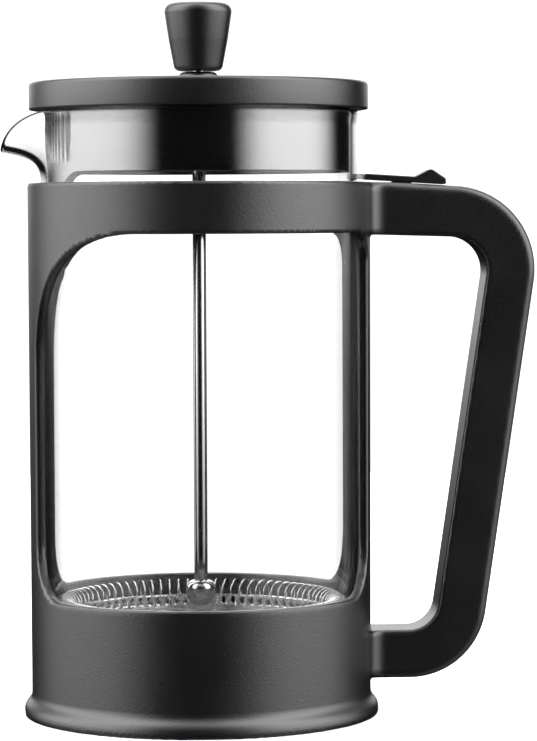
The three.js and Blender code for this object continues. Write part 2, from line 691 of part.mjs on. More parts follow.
function bushGeometry() {
  const clipLow = CLIP_TOP_Z - BUSH_CLIP_THICKNESS - PIECE_GAP;
  const grooveR = BUSH_SHANK_R - BUSH_GROOVE;
  const tailZ = clipLow - BUSH_TAIL;
  const edge = BUSH_BOSS_EDGE;
  return turned(
    [
      [BUSH_BORE_R, tailZ],
      [BUSH_SHANK_R - EDGE_BREAK, tailZ],
      [BUSH_SHANK_R, tailZ + EDGE_BREAK],
      [BUSH_SHANK_R, clipLow],
      [grooveR, clipLow],
      [grooveR, CLIP_TOP_Z + PIECE_GAP],
      [BUSH_SHANK_R, CLIP_TOP_Z + PIECE_GAP],
      [BUSH_SHANK_R, BOSS_Z],
      [BUSH_BOSS_R, BOSS_Z],
      ...arc(BUSH_BOSS_R - edge, BOSS_TOP_Z - edge, edge, 0, 90, 4),
      [BUSH_BORE_R, BOSS_TOP_Z],
    ],
    SMALL,
    true,
  );
}

// A snap ring in the bush's groove, open at one side.
function bushClipGeometry() {
  const inner = BUSH_SHANK_R - BUSH_GROOVE + PIECE_GAP;
  const low = CLIP_TOP_Z - BUSH_CLIP_THICKNESS;
  const ring = solid(
    turned(
      [
        [inner, low],
        [BUSH_CLIP_R, low],
        [BUSH_CLIP_R, CLIP_TOP_Z],
        [inner, CLIP_TOP_Z],
      ],
      SMALL,
      true,
    ),
  );
  const mouth = block(BUSH_CLIP_R, BUSH_CLIP_MOUTH, PAST, 0.6 * BUSH_CLIP_R, 0, CLIP_TOP_Z);
  return geometryOf(ring.subtract(solid(mouth)));
}

// ---------------------------------------------------------------------------------------------------------
// Plunger
// ---------------------------------------------------------------------------------------------------------

function knobGeometry() {
  const topZ = KNOB_Z + KNOB_HEIGHT - KNOB_CROWN;
  const holeR = INSERT_R + PIECE_GAP;
  const holeTop = INSERT_TOP_Z + PIECE_GAP;
  return turned(
    [
      [0, holeTop],
      [holeR, holeTop],
      [holeR, KNOB_Z],
      ...arc(KNOB_LOW_R - KNOB_LOW_EDGE, KNOB_Z + KNOB_LOW_EDGE, KNOB_LOW_EDGE, -90, -12, 4),
      ...arc(KNOB_R - KNOB_TOP_EDGE, topZ - KNOB_TOP_EDGE, KNOB_TOP_EDGE, -6, 90, 5),
      [0, topZ + KNOB_CROWN],
    ],
    0.75 * ROUND,
  );
}

function knobInsertGeometry() {
  const boreR = ROD_R + ROD_IN_BUSH;
  const boreTop = ROD_TOP_Z + PIECE_GAP;
  return turned(
    [
      [0, boreTop],
      [boreR, boreTop],
      [boreR, INSERT_Z],
      [INSERT_R, INSERT_Z],
      [INSERT_R, INSERT_TOP_Z - EDGE_BREAK],
      [INSERT_R - EDGE_BREAK, INSERT_TOP_Z],
      [0, INSERT_TOP_Z],
    ],
    SMALL,
  );
}

function rodGeometry() {
  return turned(
    [
      [0, ROD_END_Z],
      [ROD_R - EDGE_BREAK, ROD_END_Z],
      [ROD_R, ROD_END_Z + EDGE_BREAK],
      [ROD_R, ROD_TOP_Z - EDGE_BREAK],
      [ROD_R - EDGE_BREAK, ROD_TOP_Z],
      [0, ROD_TOP_Z],
    ],
    SMALL,
  );
}

function hubGeometry() {
  const boreR = ROD_R + ROD_IN_BUSH;
  const low = PLATE_TOP_Z + PIECE_GAP;
  const dome = [0, 25, 50, 75, 90].map((a) => [
    boreR + (HUB_R - boreR) * Math.cos(rad(a)),
    HUB_TOP_Z - HUB_DOME + HUB_DOME * Math.sin(rad(a)),
  ]);
  return turned(
    [
      [boreR, low],
      [HUB_FLANGE_R, low],
      [HUB_FLANGE_R, low + HUB_FLANGE / 2],
      [HUB_FLANGE_R - HUB_FLANGE / 2, low + HUB_FLANGE],
      [HUB_R, low + HUB_FLANGE],
      ...dome,
    ],
    SMALL,
    true,
  );
}

function roundHoles(count, circleR, holeR, z) {
  const cutters = [];
  for (let i = 0; i < count; i++) {
    const angle = (i * 2 * Math.PI) / count;
    const hole = turned(
      [
        [0, z - PAST],
        [holeR, z - PAST],
        [holeR, z + PAST],
        [0, z + PAST],
      ],
      SMALL / 2,
    );
    cutters.push(solid(hole.translate(circleR * Math.cos(angle), circleR * Math.sin(angle), 0)));
  }
  return cutters;
}

function springPlateGeometry() {
  const boreR = ROD_R + PIECE_GAP;
  const wallR = COIL_CENTRE_R + PLATE_SHEET / 2;
  const bend = [wallR - PLATE_BEND, PLATE_FLOOR_Z + PLATE_BEND];
  let body = solid(
    turned(
      [
        [boreR, PLATE_FLOOR_Z],
        ...arc(...bend, PLATE_BEND, -90, 0, 2),
        [wallR, PLATE_RIM_Z],
        [wallR - PLATE_SHEET, PLATE_RIM_Z],
        ...arc(...bend, PLATE_BEND - PLATE_SHEET, 0, -90, 2),
        [boreR, PLATE_TOP_Z],
      ],
      ROUND,
      true,
    ),
  );
  for (const hole of roundHoles(PLATE_HOLES, PLATE_HOLE_CIRCLE_R, PLATE_HOLE_R, PLATE_FLOOR_Z)) {
    body = body.subtract(hole);
  }
  return geometryOf(body);
}

// The outer shape of the coil: a ring of one turn's size, slotted from below for the rim of the plate.
function coilGeometry() {
  const centreZ = COIL_LOW_Z + COIL_R;
  const slot = PLATE_SHEET / 2 + PIECE_GAP;
  const slotTop = PLATE_RIM_Z + PIECE_GAP;
  const low = -THREE.MathUtils.radToDeg(Math.acos(slot / COIL_R));
  return turned(
    [
      [COIL_CENTRE_R + slot, slotTop],
      ...arc(COIL_CENTRE_R, centreZ, COIL_R, low, 180 - low, 8),
      [COIL_CENTRE_R - slot, slotTop],
    ],
    ROUND,
    true,
  );
}

function meshGeometry() {
  const boreR = EYELET_R + PIECE_GAP;
  const wallR = BEAKER_BORE_R - MESH_IN_GLASS;
  const bend = [wallR - MESH_BEND, MESH_Z + MESH_BEND];
  const topZ = MESH_Z + MESH_RIM_RISE;
  return turned(
    [
      [boreR, MESH_Z],
      ...arc(...bend, MESH_BEND, -90, 0, 2),
      [wallR, topZ],
      [wallR - MESH_THICKNESS, topZ],
      ...arc(...bend, MESH_BEND - MESH_THICKNESS, 0, -90, 2),
      [boreR, MESH_Z + MESH_THICKNESS],
    ],
    ROUND,
    true,
  );
}

function eyeletGeometry() {
  return turned(
    [
      [ROD_R + PIECE_GAP, MESH_Z],
      [EYELET_R, MESH_Z],
      [EYELET_R, MESH_Z + MESH_THICKNESS],
      [ROD_R + PIECE_GAP, MESH_Z + MESH_THICKNESS],
    ],
    SMALL,
    true,
  );
}

// A disc with four windows between its rim, its hub and the arms of the cross.
function crossPlateGeometry() {
  const boreR = ROD_R + PIECE_GAP;
  const topZ = CROSS_Z + CROSS_PLATE_THICKNESS;
  let body = solid(
    turned(
      [
        [boreR, CROSS_Z],
        [CROSS_PLATE_R, CROSS_Z],
        [CROSS_PLATE_R, topZ],
        [boreR, topZ],
      ],
      ROUND,
      true,
    ),
  );
  const outer = CROSS_PLATE_R - CROSS_RIM;
  const gap = CROSS_ARM_WIDTH / 2;
  for (let i = 0; i < 4; i++) {
    const shape = new THREE.Shape();
    shape.absarc(0, 0, outer, Math.asin(gap / outer), Math.acos(gap / outer), false);
    shape.absarc(0, 0, CROSS_HUB_R, Math.acos(gap / CROSS_HUB_R), Math.asin(gap / CROSS_HUB_R), true);
    shape.closePath();
    const extrusion = { depth: 2 * PAST, bevelEnabled: false, curveSegments: 5 };
    const sector = new THREE.ExtrudeGeometry(shape, extrusion);
    body = body.subtract(solid(sector.translate(0, 0, CROSS_Z - PAST).rotateZ((i * Math.PI) / 2)));
  }
  return geometryOf(body);
}

function nutGeometry() {
  const boreR = ROD_R + ROD_IN_BUSH;
  const topZ = NUT_Z + NUT_HEIGHT;
  const hexagon = solid(
    turned(
      [
        [0, NUT_Z],
        [NUT_R, NUT_Z],
        [NUT_R, topZ],
        [0, topZ],
      ],
      6,
    ),
  );
  const bore = solid(
    turned(
      [
        [0, NUT_Z - PAST],
        [boreR, NUT_Z - PAST],
        [boreR, topZ + PAST],
        [0, topZ + PAST],
      ],
      SMALL,
    ),
  );
  return geometryOf(hexagon.subtract(bore));
}

// ---------------------------------------------------------------------------------------------------------
// Assembly
// ---------------------------------------------------------------------------------------------------------

const finish = (color, roughness, metalness) => ({ color, roughness, metalness });
const BLACK_PLASTIC = finish(0x1d1c1e, 0.45, 0);
const STEEL = finish(0xb9bbbd, 0.28, 1);
const CHROME = finish(0xd8dadc, 0.1, 1);
const MESH_STEEL = finish(0x9b9c9d, 0.45, 1);
const CLEAR_GLASS = { ...finish(0xeef4f2, 0.02, 0), transparent: true, opacity: 0.3 };
const CLEAR_PAD = { ...finish(0xb8bab9, 0.3, 0), transparent: true, opacity: 0.7 };

function piece(name, geometry, look) {
  const mesh = new THREE.Mesh(geometry, new THREE.MeshStandardMaterial(look));
  mesh.name = name;
  return mesh;
}

function group(...children) {
  const made = new THREE.Group();
  made.add(...children);
  return made;
}

const latch = group(
  piece("latch_slider", latchGeometry(), BLACK_PLASTIC),
  piece("latch_pad", latchPadGeometry(), CLEAR_PAD),
);
latch.applyMatrix4(onUpperArm);

const lid = group(
  piece("lid_cap", lidCapGeometry(), BLACK_PLASTIC),
  piece("lid_liner", linerGeometry(), STEEL),
);

const bush = group(
  piece("rod_bush", bushGeometry(), BLACK_PLASTIC),
  piece("bush_clip", bushClipGeometry(), STEEL),
);

const plunger = group(
  piece("knob", knobGeometry(), BLACK_PLASTIC),
  piece("knob_insert", knobInsertGeometry(), CHROME),
  piece("plunger_rod", rodGeometry(), CHROME),
  piece("filter_hub", hubGeometry(), CHROME),
);

const filter = group(
  piece("spring_plate", springPlateGeometry(), STEEL),
  piece("coil_spring", coilGeometry(), STEEL),
  piece("mesh_filter", meshGeometry(), MESH_STEEL),
  piece("mesh_eyelet", eyeletGeometry(), STEEL),
  piece("cross_plate", crossPlateGeometry(), STEEL),
  piece("cross_plate_nut", nutGeometry(), STEEL),
);

export default group(
  piece("frame", frameGeometry(), BLACK_PLASTIC),
  latch,
  piece("beaker", beakerGeometry(), CLEAR_GLASS),
  lid,
  bush,
  plunger,
  filter,
);
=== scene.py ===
"""Looks for the french press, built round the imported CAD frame.

Lengths are in millimetres up to the studio, which is in metres as Blender is. The black plastic frame is one
smooth moulded skin, the beaker is clear glass with a pouring lip, and the filter's edge is a coil of wire.
"""

import math

import bpy
import numpy as np
from mathutils import Matrix, Vector


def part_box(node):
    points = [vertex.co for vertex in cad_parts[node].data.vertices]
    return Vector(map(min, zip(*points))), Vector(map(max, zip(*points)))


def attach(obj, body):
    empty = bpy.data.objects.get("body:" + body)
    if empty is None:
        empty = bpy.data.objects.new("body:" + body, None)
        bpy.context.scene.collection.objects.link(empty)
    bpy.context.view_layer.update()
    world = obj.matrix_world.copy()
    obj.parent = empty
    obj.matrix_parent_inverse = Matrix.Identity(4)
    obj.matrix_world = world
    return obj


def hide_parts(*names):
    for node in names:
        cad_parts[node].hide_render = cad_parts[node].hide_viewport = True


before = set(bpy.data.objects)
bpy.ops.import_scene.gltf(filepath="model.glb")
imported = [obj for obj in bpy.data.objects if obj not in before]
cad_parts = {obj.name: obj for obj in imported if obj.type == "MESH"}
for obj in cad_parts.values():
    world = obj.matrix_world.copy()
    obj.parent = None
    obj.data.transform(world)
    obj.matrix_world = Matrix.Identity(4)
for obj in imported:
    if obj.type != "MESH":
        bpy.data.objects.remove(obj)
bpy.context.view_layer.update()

MM = 0.001


def span(node):
    """Lowest and highest corner of a CAD node, in millimetres."""
    low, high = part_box(node)
    return np.array(low) / MM, np.array(high) / MM


# ----------------------------------------------------------------------------------------------------------
# Sizes: the overall ones come from the CAD boxes, the rest repeat what the boxes can't tell
# ----------------------------------------------------------------------------------------------------------

FRAME_LOW, FRAME_HIGH = span("frame")
BEAKER_LOW = span("beaker")[0]
LID_LOW, LID_HIGH = span("lid_cap")
LINER_LOW, LINER_HIGH = span("lid_liner")
KNOB_LOW, KNOB_HIGH = span("knob")
PLATE_LOW, PLATE_HIGH = span("spring_plate")
COIL_LOW, COIL_HIGH = span("coil_spring")
MESH_LOW, MESH_HIGH = span("mesh_filter")

PIECE_GAP = 0.3
SHEET = 0.8

# frame
FOOT_OVERHANG = 2.3
FOOT_TOP = 3.3
FOOT_COVE = 2.6
FOOT_EDGE = 0.8
FRAME_WALL = 2.8
FRAME_DRAFT = 0.3
FOOT_R = FRAME_HIGH[1]
WALL_R = FOOT_R - FOOT_OVERHANG
BORE_R = WALL_R - FRAME_WALL
FRAME_HEIGHT = FRAME_HIGH[2]
FOOT_LAND = 5.4
FLOOR_RECESS = 1.2
FLOOR_TOP = 3.6
SEAT_Z = 5.0
SEAT_WIDTH = 9.0
GATE_PAD_R = 9.0
DRAIN_COUNT = 6
DRAIN_R = 4.0
DRAIN_CIRCLE_R = 24.0
WINDOW_HALF_ANGLE = math.radians(74.2)
WINDOW_LOW = 37.3
WINDOW_HIGH = FRAME_HEIGHT - 15.4
SPOUT_CORNER = (45.0, 39.0)
HANDLE_CORNER = (11.5, 9.0)
LOWER_CORNER = (15.0, 17.0)
WALL_BLEND = 0.8
FOOT_BLEND = 0.8
TOP_EDGE = 0.5
BASE_EDGE = 0.6
BORE_EDGE = 1.0
FLOOR_EDGE = 0.8
WINDOW_EDGE = 0.5
DRAIN_EDGE = 0.6
SKIN_STEP = 1.0
EDGE_SLACK = 0.05

# handle
HANDLE_WIDTH = 16.0
HANDLE_EDGE = 2.4
HANDLE_INNER_EDGE = 1.0
HANDLE_SPAN = 50.9
GRIP_THICKNESS = 15.1
GRIP_LEAN = math.radians(8.4)
UPPER_ARM = 16.1
UPPER_ARM_SLOPE = math.radians(3.6)
UPPER_ARM_LEVEL = 5.6
UNDERSIDE_SLOPE = math.radians(1.7)
LOWER_ARM = 14.9
LOWER_ARM_Z = 10.5
CORNER_TOP_OUTER = 25.6
CORNER_TOP_INNER = 10.5
CORNER_LOW_OUTER = 23.5
CORNER_LOW_INNER = 9.0
HANDLE_FILLET = 5.0

# latch slot
SLOT_START = 1.15
SLOT_LENGTH = 12.7
SLOT_NECK = 4.3
SLOT_FOOT = 7.1
SLOT_DEPTH = 3.35
SLOT_FOOT_HEIGHT = 2.1

# beaker
RIM_FLARE = 0.45
RIM_FLARE_HEIGHT = 5.0
BEAKER_R = 48.3
BEAKER_HEIGHT = 179.0
GLASS_WALL = 1.9
GLASS_FLOOR = 2.6
GLASS_HEEL = 5.0
SPOUT_REACH = 12.1
SPOUT_DROP = 12.2
SPOUT_ROOT = 21.5
SPOUT_HALF_ANGLE = math.radians(30)
RIM_Z = BEAKER_LOW[2] + BEAKER_HEIGHT
SPOUT_ROOT_Z = RIM_Z - SPOUT_ROOT

# lid
LID_CROWN = 0.5
LID_WALL = 2.4
LID_SEAT = 5.2
LID_HOLE_R = 4.3
LINER_DEPTH = 19.2
LINER_BEND = 2.0
TONGUE_HALF_ANGLE = math.radians(27)
TONGUE_SHOULDER = 9.0
SLIT_COUNT = 21
SLIT_PITCH = math.radians(3.1)
SLIT_WIDTH = 1.3
SLIT_LOW = 15.6
SLIT_HIGH = 3.2

# bush, knob and rod
SHANK_R = 4.0
GROOVE_R = 3.4
ROD_R = 2.05
ROD_BORE_R = 2.15
KNOB_SKIRT = 0.45
KNOB_BORE_R = 3.85

# filter
HUB_R = 4.45
HUB_FLANGE = 1.4
PLATE_BEND = 2.4
PLATE_PRESSING = 0.45
PLATE_FLOOR = (
    (2.35, 0.0),
    (12.0, 0.0),
    (13.0, 0.5),
    (15.0, 0.5),
    (16.0, 0.0),
    (24.5, 0.0),
    (25.5, PLATE_PRESSING),
    (34.5, PLATE_PRESSING),
    (35.5, 0.0),
    (39.0, 0.0),
)
PLATE_HOLE_ROW = 6
PLATE_HOLES = 12
PLATE_HOLE_R = 3.2
PLATE_HOLE_CIRCLE_R = 30.0
PLATE_HOLE_STEPS = (27.75, 30.0, 32.25)
DROP_R = 0.8
DROP_TIP = 0.9
WIRE_R = 0.28
COIL_TURNS = 86
COLUMNS_PER_TURN = 4
MESH_SHEET = 0.6
MESH_HOLE_R = 5.5


# ----------------------------------------------------------------------------------------------------------
# Materials
# ----------------------------------------------------------------------------------------------------------

class Tree:
    """Short calls that add nodes to a node tree and link them."""

    def __init__(self, tree):
        self.tree = tree

    def node(self, kind, **settings):
        made = self.tree.nodes.new(kind)
        for name, value in settings.items():
            setattr(made, name, value)
        return made

    def feed(self, source, target):
        if isinstance(source, bpy.types.NodeSocket):
            self.tree.links.new(source, target)
        else:
            target.default_value = source

    def math(self, operation, first, second=0.0):
        made = self.node("ShaderNodeMath", operation=operation)
        self.feed(first, made.inputs[0])
        self.feed(second, made.inputs[1])
        return made.outputs["Value"]


class Nodes(Tree):
    """A material with one Principled BSDF, and short calls for the nodes that feed it."""

    def __init__(self, name):
        self.material = bpy.data.materials.new(name)
        self.material.use_nodes = True
        super().__init__(self.material.node_tree)
        self.shader = self.tree.nodes["Principled BSDF"]
        self.place = self.node("ShaderNodeTexCoord").outputs["Object"]

    def stretched(self, scale):
        mapping = self.node("ShaderNodeMapping")
        self.feed(self.place, mapping.inputs["Vector"])
        mapping.inputs["Scale"].default_value = scale
        return mapping.outputs["Vector"]

    def noise(self, scale, detail=3.0, roughness=0.55, place=None):
        made = self.node("ShaderNodeTexNoise")
        self.feed(place or self.place, made.inputs["Vector"])
        made.inputs["Scale"].default_value = scale
        made.inputs["Detail"].default_value = detail
        made.inputs["Roughness"].default_value = roughness
        return made.outputs["Fac"]

    def spread(self, source, low, high, start=0.3, end=0.7):
        made = self.node("ShaderNodeMapRange")
        self.feed(source, made.inputs["Value"])
        made.inputs["From Min"].default_value = start
        made.inputs["From Max"].default_value = end
        made.inputs["To Min"].default_value = low
        made.inputs["To Max"].default_value = high
        return made.outputs["Result"]

    def blend(self, amount, first, second):
        made = self.node("ShaderNodeMix", data_type="RGBA")
        self.feed(amount, made.inputs["Factor"])
        self.feed(first, made.inputs["A"])
        self.feed(second, made.inputs["B"])
        return made.outputs["Result"]

    def bump(self, height, depth, strength=1.0, under=None):
        made = self.node("ShaderNodeBump")
        self.feed(height, made.inputs["Height"])
        made.inputs["Distance"].default_value = depth
        made.inputs["Strength"].default_value = strength
        if under is not None:
            self.feed(under, made.inputs["Normal"])
        return made.outputs["Normal"]

    def set(self, **values):
        names = {
            "color": "Base Color",
            "roughness": "Roughness",
            "metallic": "Metallic",
            "normal": "Normal",
            "ior": "IOR",
            "specular": "Specular IOR Level",
            "transmission": "Transmission Weight",
        }
        for key, value in values.items():
            self.feed(value, self.shader.inputs[names[key]])
        return self.material


def black_plastic():
    n = Nodes("black_plastic")
    cloud = n.noise(38, 4)
    grain = n.noise(3200, 2, 0.6)
    speck = n.noise(1500, 3, 0.6)
    color = n.blend(n.spread(cloud, 0.0, 1.0), (0.0020, 0.0018, 0.0021, 1), (0.0038, 0.0035, 0.0040, 1))
    roughness = n.math("ADD", n.spread(cloud, 0.28, 0.33), n.spread(speck, -0.02, 0.03))
    fine = n.bump(grain, 0.00008, 0.6)
    normal = n.bump(speck, 0.00010, 0.4, fine)
    return n.set(color=color, roughness=roughness, normal=normal, specular=1.0, ior=1.6)


def clear_glass():
    n = Nodes("glass")
    facing = n.node("ShaderNodeLayerWeight")
    facing.inputs["Blend"].default_value = 0.5
    # Base colour turns dark grey-green towards grazing angles: painted shade along the glass's edges and
    # silhouettes.
    edge = n.spread(facing.outputs["Facing"], 0.0, 1.0, 0.74, 1.0)
    color = n.blend(edge, (0.990, 0.995, 0.992, 1), (0.20, 0.24, 0.22, 1))
    film = n.noise(45, 4)
    roughness = n.spread(film, 0.0, 0.012, 0.45, 0.75)
    normal = n.bump(n.noise(16, 1), 0.0004, 0.05)
    return n.set(color=color, roughness=roughness, normal=normal, transmission=1.0, ior=1.47)


def clear_pad():
    n = Nodes("clear_pad")
    cloud = n.noise(600, 3)
    color = n.blend(cloud, (0.62, 0.63, 0.63, 1), (0.50, 0.51, 0.51, 1))
    normal = n.bump(cloud, 0.00005, 0.4)
    return n.set(color=color, roughness=n.spread(cloud, 0.2, 0.35), normal=normal, transmission=0.6, ior=1.45)


def sheet_steel(name, dark, light):
    n = Nodes(name)
    drawn = n.noise(240, 4, 0.6, n.stretched((0.25, 0.25, 9.0)))
    cloud = n.noise(55, 3)
    color = n.blend(cloud, (dark, dark, dark, 1), (light, light, light, 1))
    roughness = n.math("ADD", n.spread(cloud, 0.10, 0.15), n.spread(drawn, -0.02, 0.03))
    normal = n.bump(drawn, 0.00003, 0.25)
    return n.set(color=color, roughness=roughness, normal=normal, metallic=1.0)


def polished_steel():
    n = Nodes("polished_steel")
    streak = n.noise(160, 3, 0.5, n.stretched((6.0, 6.0, 0.4)))
    cloud = n.noise(90, 3)
    color = n.blend(cloud, (0.70, 0.69, 0.69, 1), (0.80, 0.79, 0.79, 1))
    normal = n.bump(streak, 0.00001, 0.3)
    return n.set(color=color, roughness=n.spread(cloud, 0.05, 0.11), normal=normal, metallic=1.0)


def woven_steel():
    """Fine wire cloth: crossed threads raised over each other, with painted shade darkening the gaps between
    them.
    """
    n = Nodes("steel_mesh")
    threads = []
    for axis in ("X", "Y"):
        wave = n.node("ShaderNodeTexWave", bands_direction=axis)
        n.feed(n.place, wave.inputs["Vector"])
        wave.inputs["Scale"].default_value = 420
        wave.inputs["Distortion"].default_value = 0.0
        threads.append(wave.outputs["Fac"])
    weave = n.math("MULTIPLY", *threads)
    # Colour dark between the threads: painted shade in the gaps of the cloth.
    color = n.blend(n.spread(weave, 0.0, 1.0, 0.05, 0.6), (0.12, 0.12, 0.12, 1), (0.55, 0.55, 0.55, 1))
    roughness = n.spread(n.noise(300, 3), 0.25, 0.4)
    return n.set(color=color, roughness=roughness, normal=n.bump(weave, 0.00015, 0.8), metallic=1.0)


BLACK = black_plastic()
GLASS = clear_glass()
PAD = clear_pad()
# The liner's steel is a much darker copy of the plate's steel: painted shade on the liner.
SHADED_LINER_STEEL = sheet_steel("shaded_liner_steel", 0.25, 0.30)
PLATE_STEEL = sheet_steel("plate_steel", 0.62, 0.72)
POLISHED = polished_steel()
WOVEN = woven_steel()


# ----------------------------------------------------------------------------------------------------------
# Mesh helpers
# ----------------------------------------------------------------------------------------------------------

def make_piece(name, points, faces, body, slot, look, replaced, normals=None, sharp_degrees=35):
    """A mesh object from points in millimetres, riding on a body in place of a CAD node."""
    mesh = bpy.data.meshes.new(name)
    mesh.from_pydata((np.asarray(points) * MM).tolist(), [], faces)
    mesh.shade_smooth()
    if normals is None:
        mesh.set_sharp_from_angle(angle=math.radians(sharp_degrees))
    else:
        mesh.normals_split_custom_set_from_vertices(normals.tolist())
    mesh.materials.append(look)
    piece = bpy.data.objects.new(name, mesh)
    bpy.context.scene.collection.objects.link(piece)
    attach(piece, body)
    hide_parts(replaced)
    return piece


def unit(vector):
    return vector / np.linalg.norm(vector)


def rounded(corners, steps=6):
    """Points of a closed outline of corners (x, y) or (x, y, radius), each radius turned into an arc."""
    points = []
    for i, corner in enumerate(corners):
        here = np.array(corner[:2], float)
        radius = corner[2] if len(corner) > 2 else 0
        if not radius:
            points.append(here)
            continue
        back = unit(np.array(corners[i - 1][:2], float) - here)
        on = unit(np.array(corners[(i + 1) % len(corners)][:2], float) - here)
        half = math.acos(np.clip(back @ on, -1, 1)) / 2
        centre = here + unit(back + on) * radius / math.sin(half)
        start = here + back * radius / math.tan(half) - centre
        end = here + on * radius / math.tan(half) - centre
        first = math.atan2(start[1], start[0])
        turn = (math.atan2(end[1], end[0]) - first + math.pi) % (2 * math.pi) - math.pi
        for k in range(steps + 1):
            angle = first + turn * k / steps
            points.append(centre + radius * np.array([math.cos(angle), math.sin(angle)]))
    return points


def lathe(profile, sides):
    """Points and faces of a solid turned about Z from a closed (radius, height) outline."""
    outline = [np.asarray(p, float) for p in profile]
    area = sum(a[0] * b[1] - b[0] * a[1] for a, b in zip(outline, outline[1:] + outline[:1]))
    if area < 0:
        outline.reverse()
    angles = np.arange(sides) * 2 * math.pi / sides
    points = []
    rings = []
    for r, z in outline:
        start = len(points)
        if r < 1e-6:
            points.append((0, 0, z))
            rings.append([start] * sides)
        else:
            points.extend((r * math.cos(a), r * math.sin(a), z) for a in angles)
            rings.append(list(range(start, start + sides)))
    faces = []
    for low, high in zip(rings, rings[1:] + rings[:1]):
        if low[0] == low[-1] and high[0] == high[-1]:
            continue
        for j in range(sides):
            k = (j + 1) % sides
            face = [low[j], low[k], high[k], high[j]]
            faces.append([v for i, v in enumerate(face) if v != face[i - 1]])
    return points, faces


def arc(r, z, radius, degrees):
    """Points of an arc in a (radius, height) profile, one at each of these angles."""
    return [(r + radius * math.cos(a), z + radius * math.sin(a)) for a in map(math.radians, degrees)]


def band(first, second, count):
    """Quads between two rings of points, from the numbers of their first points."""
    pairs = [(j, (j + 1) % count) for j in range(count)]
    return [[first + j, first + k, second + k, second + j] for j, k in pairs]


def turned_piece(name, corners, body, slot, look, replaced, sides=160, steps=6):
    points, faces = lathe(rounded(corners, steps), sides)
    return make_piece(name, points, faces, body, slot, look, replaced)


# ----------------------------------------------------------------------------------------------------------
# Frame: one moulded skin, from a distance field
# ----------------------------------------------------------------------------------------------------------

def smooth_min(a, b, width):
    share = np.clip(0.5 + 0.5 * (b - a) / width, 0, 1)
    return b + (a - b) * share - width * share * (1 - share)


def smooth_max(a, b, width):
    return -smooth_min(-a, -b, width)


def handle_corners():
    """The handle's outline and its finger gap in X and Z, anticlockwise, as corners with their radii."""
    outer_x = WALL_R + HANDLE_SPAN
    outer_z = FRAME_HEIGHT - CORNER_TOP_OUTER
    level_end = WALL_R + UPPER_ARM_LEVEL

    def outer(z):
        return outer_x - (outer_z - z) * math.tan(GRIP_LEAN)

    def inner(z):
        return outer(z) - GRIP_THICKNESS

    def top(x):
        return FRAME_HEIGHT - (x - level_end) * math.tan(UPPER_ARM_SLOPE)

    def under(x):
        return FRAME_HEIGHT - UPPER_ARM - (x - WALL_R) * math.tan(UNDERSIDE_SLOPE)

    low_top = LOWER_ARM_Z + LOWER_ARM
    root = BORE_R - 2
    top_x = outer(top(outer_x))
    under_x = inner(under(outer_x - GRIP_THICKNESS))
    outside = [
        (root, LOWER_ARM_Z, 0),
        (outer(LOWER_ARM_Z), LOWER_ARM_Z, CORNER_LOW_OUTER),
        (top_x, top(top_x), CORNER_TOP_OUTER),
        (level_end, FRAME_HEIGHT, 0),
        (root, FRAME_HEIGHT, 0),
    ]
    gap = [
        (0, low_top, 0),
        (inner(low_top), low_top, CORNER_LOW_INNER),
        (under_x, under(under_x), CORNER_TOP_INNER),
        (0, under(0), 0),
    ]
    return outside, gap


def outline_distance(corners, x, z):
    """Signed distance in the plane to an outline of straight lines and exact arcs, negative inside."""
    shape = np.broadcast(x, z).shape
    nearest = np.full(shape, np.inf)
    signed = np.full(shape, np.inf)

    def offer(distance, value, nearest, signed):
        closer = distance < nearest
        return np.where(closer, distance, nearest), np.where(closer, value, signed)

    count = len(corners)
    arcs = []
    for i, (cx, cz, radius) in enumerate(corners):
        here = np.array([cx, cz])
        back = unit(np.array(corners[i - 1][:2]) - here)
        on = unit(np.array(corners[(i + 1) % count][:2]) - here)
        half = math.acos(np.clip(back @ on, -1, 1)) / 2
        reach = radius / math.tan(half)
        convex = back[0] * on[1] - back[1] * on[0] < 0
        centre = here + unit(back + on) * radius / math.sin(half)
        arcs.append((here + back * reach, here + on * reach, centre, radius, convex))
    for i, (start, end, centre, radius, convex) in enumerate(arcs):
        line_start = end
        line_end = arcs[(i + 1) % count][0]
        along = unit(line_end - line_start)
        length = np.linalg.norm(line_end - line_start)
        px, pz = x - line_start[0], z - line_start[1]
        t = np.clip(px * along[0] + pz * along[1], 0, length)
        distance = np.hypot(px - t * along[0], pz - t * along[1])
        side = along[0] * pz - along[1] * px
        nearest, signed = offer(distance, np.where(side > 0, -distance, distance), nearest, signed)
        if radius:
            qx, qz = x - centre[0], z - centre[1]
            rho = np.hypot(qx, qz)
            middle = unit((start + end) / 2 - centre)
            reach = unit(start - centre) @ middle
            inside = qx * middle[0] + qz * middle[1] >= reach * rho
            value = (rho - radius) if convex else (radius - rho)
            nearest, signed = offer(np.where(inside, np.abs(value), np.inf), value, nearest, signed)
    return signed


def ellipse_distance(x, z, width, height):
    first = np.hypot(x / width, z / height)
    second = np.hypot(x / width**2, z / height**2)
    return first * (first - 1) / np.maximum(second, 1e-6)


def window_distance(u, z):
    """Signed distance on the unrolled wall to the window's outline; u runs from the spout to the handle."""
    half = WINDOW_HALF_ANGLE * WALL_R
    value = np.maximum(np.maximum(np.abs(u) - half, WINDOW_LOW - z), z - WINDOW_HIGH)
    for side, up, (width, height) in (
        (-1, 1, SPOUT_CORNER),
        (1, 1, HANDLE_CORNER),
        (-1, -1, LOWER_CORNER),
        (1, -1, LOWER_CORNER),
    ):
        edge = WINDOW_HIGH if up > 0 else WINDOW_LOW
        du = side * u - (half - width)
        dz = up * (z - edge) + height
        value = np.where((du > 0) & (dz > 0), ellipse_distance(du, dz, width, height), value)
    return value


HANDLE_OUTLINE, FINGER_GAP = handle_corners()


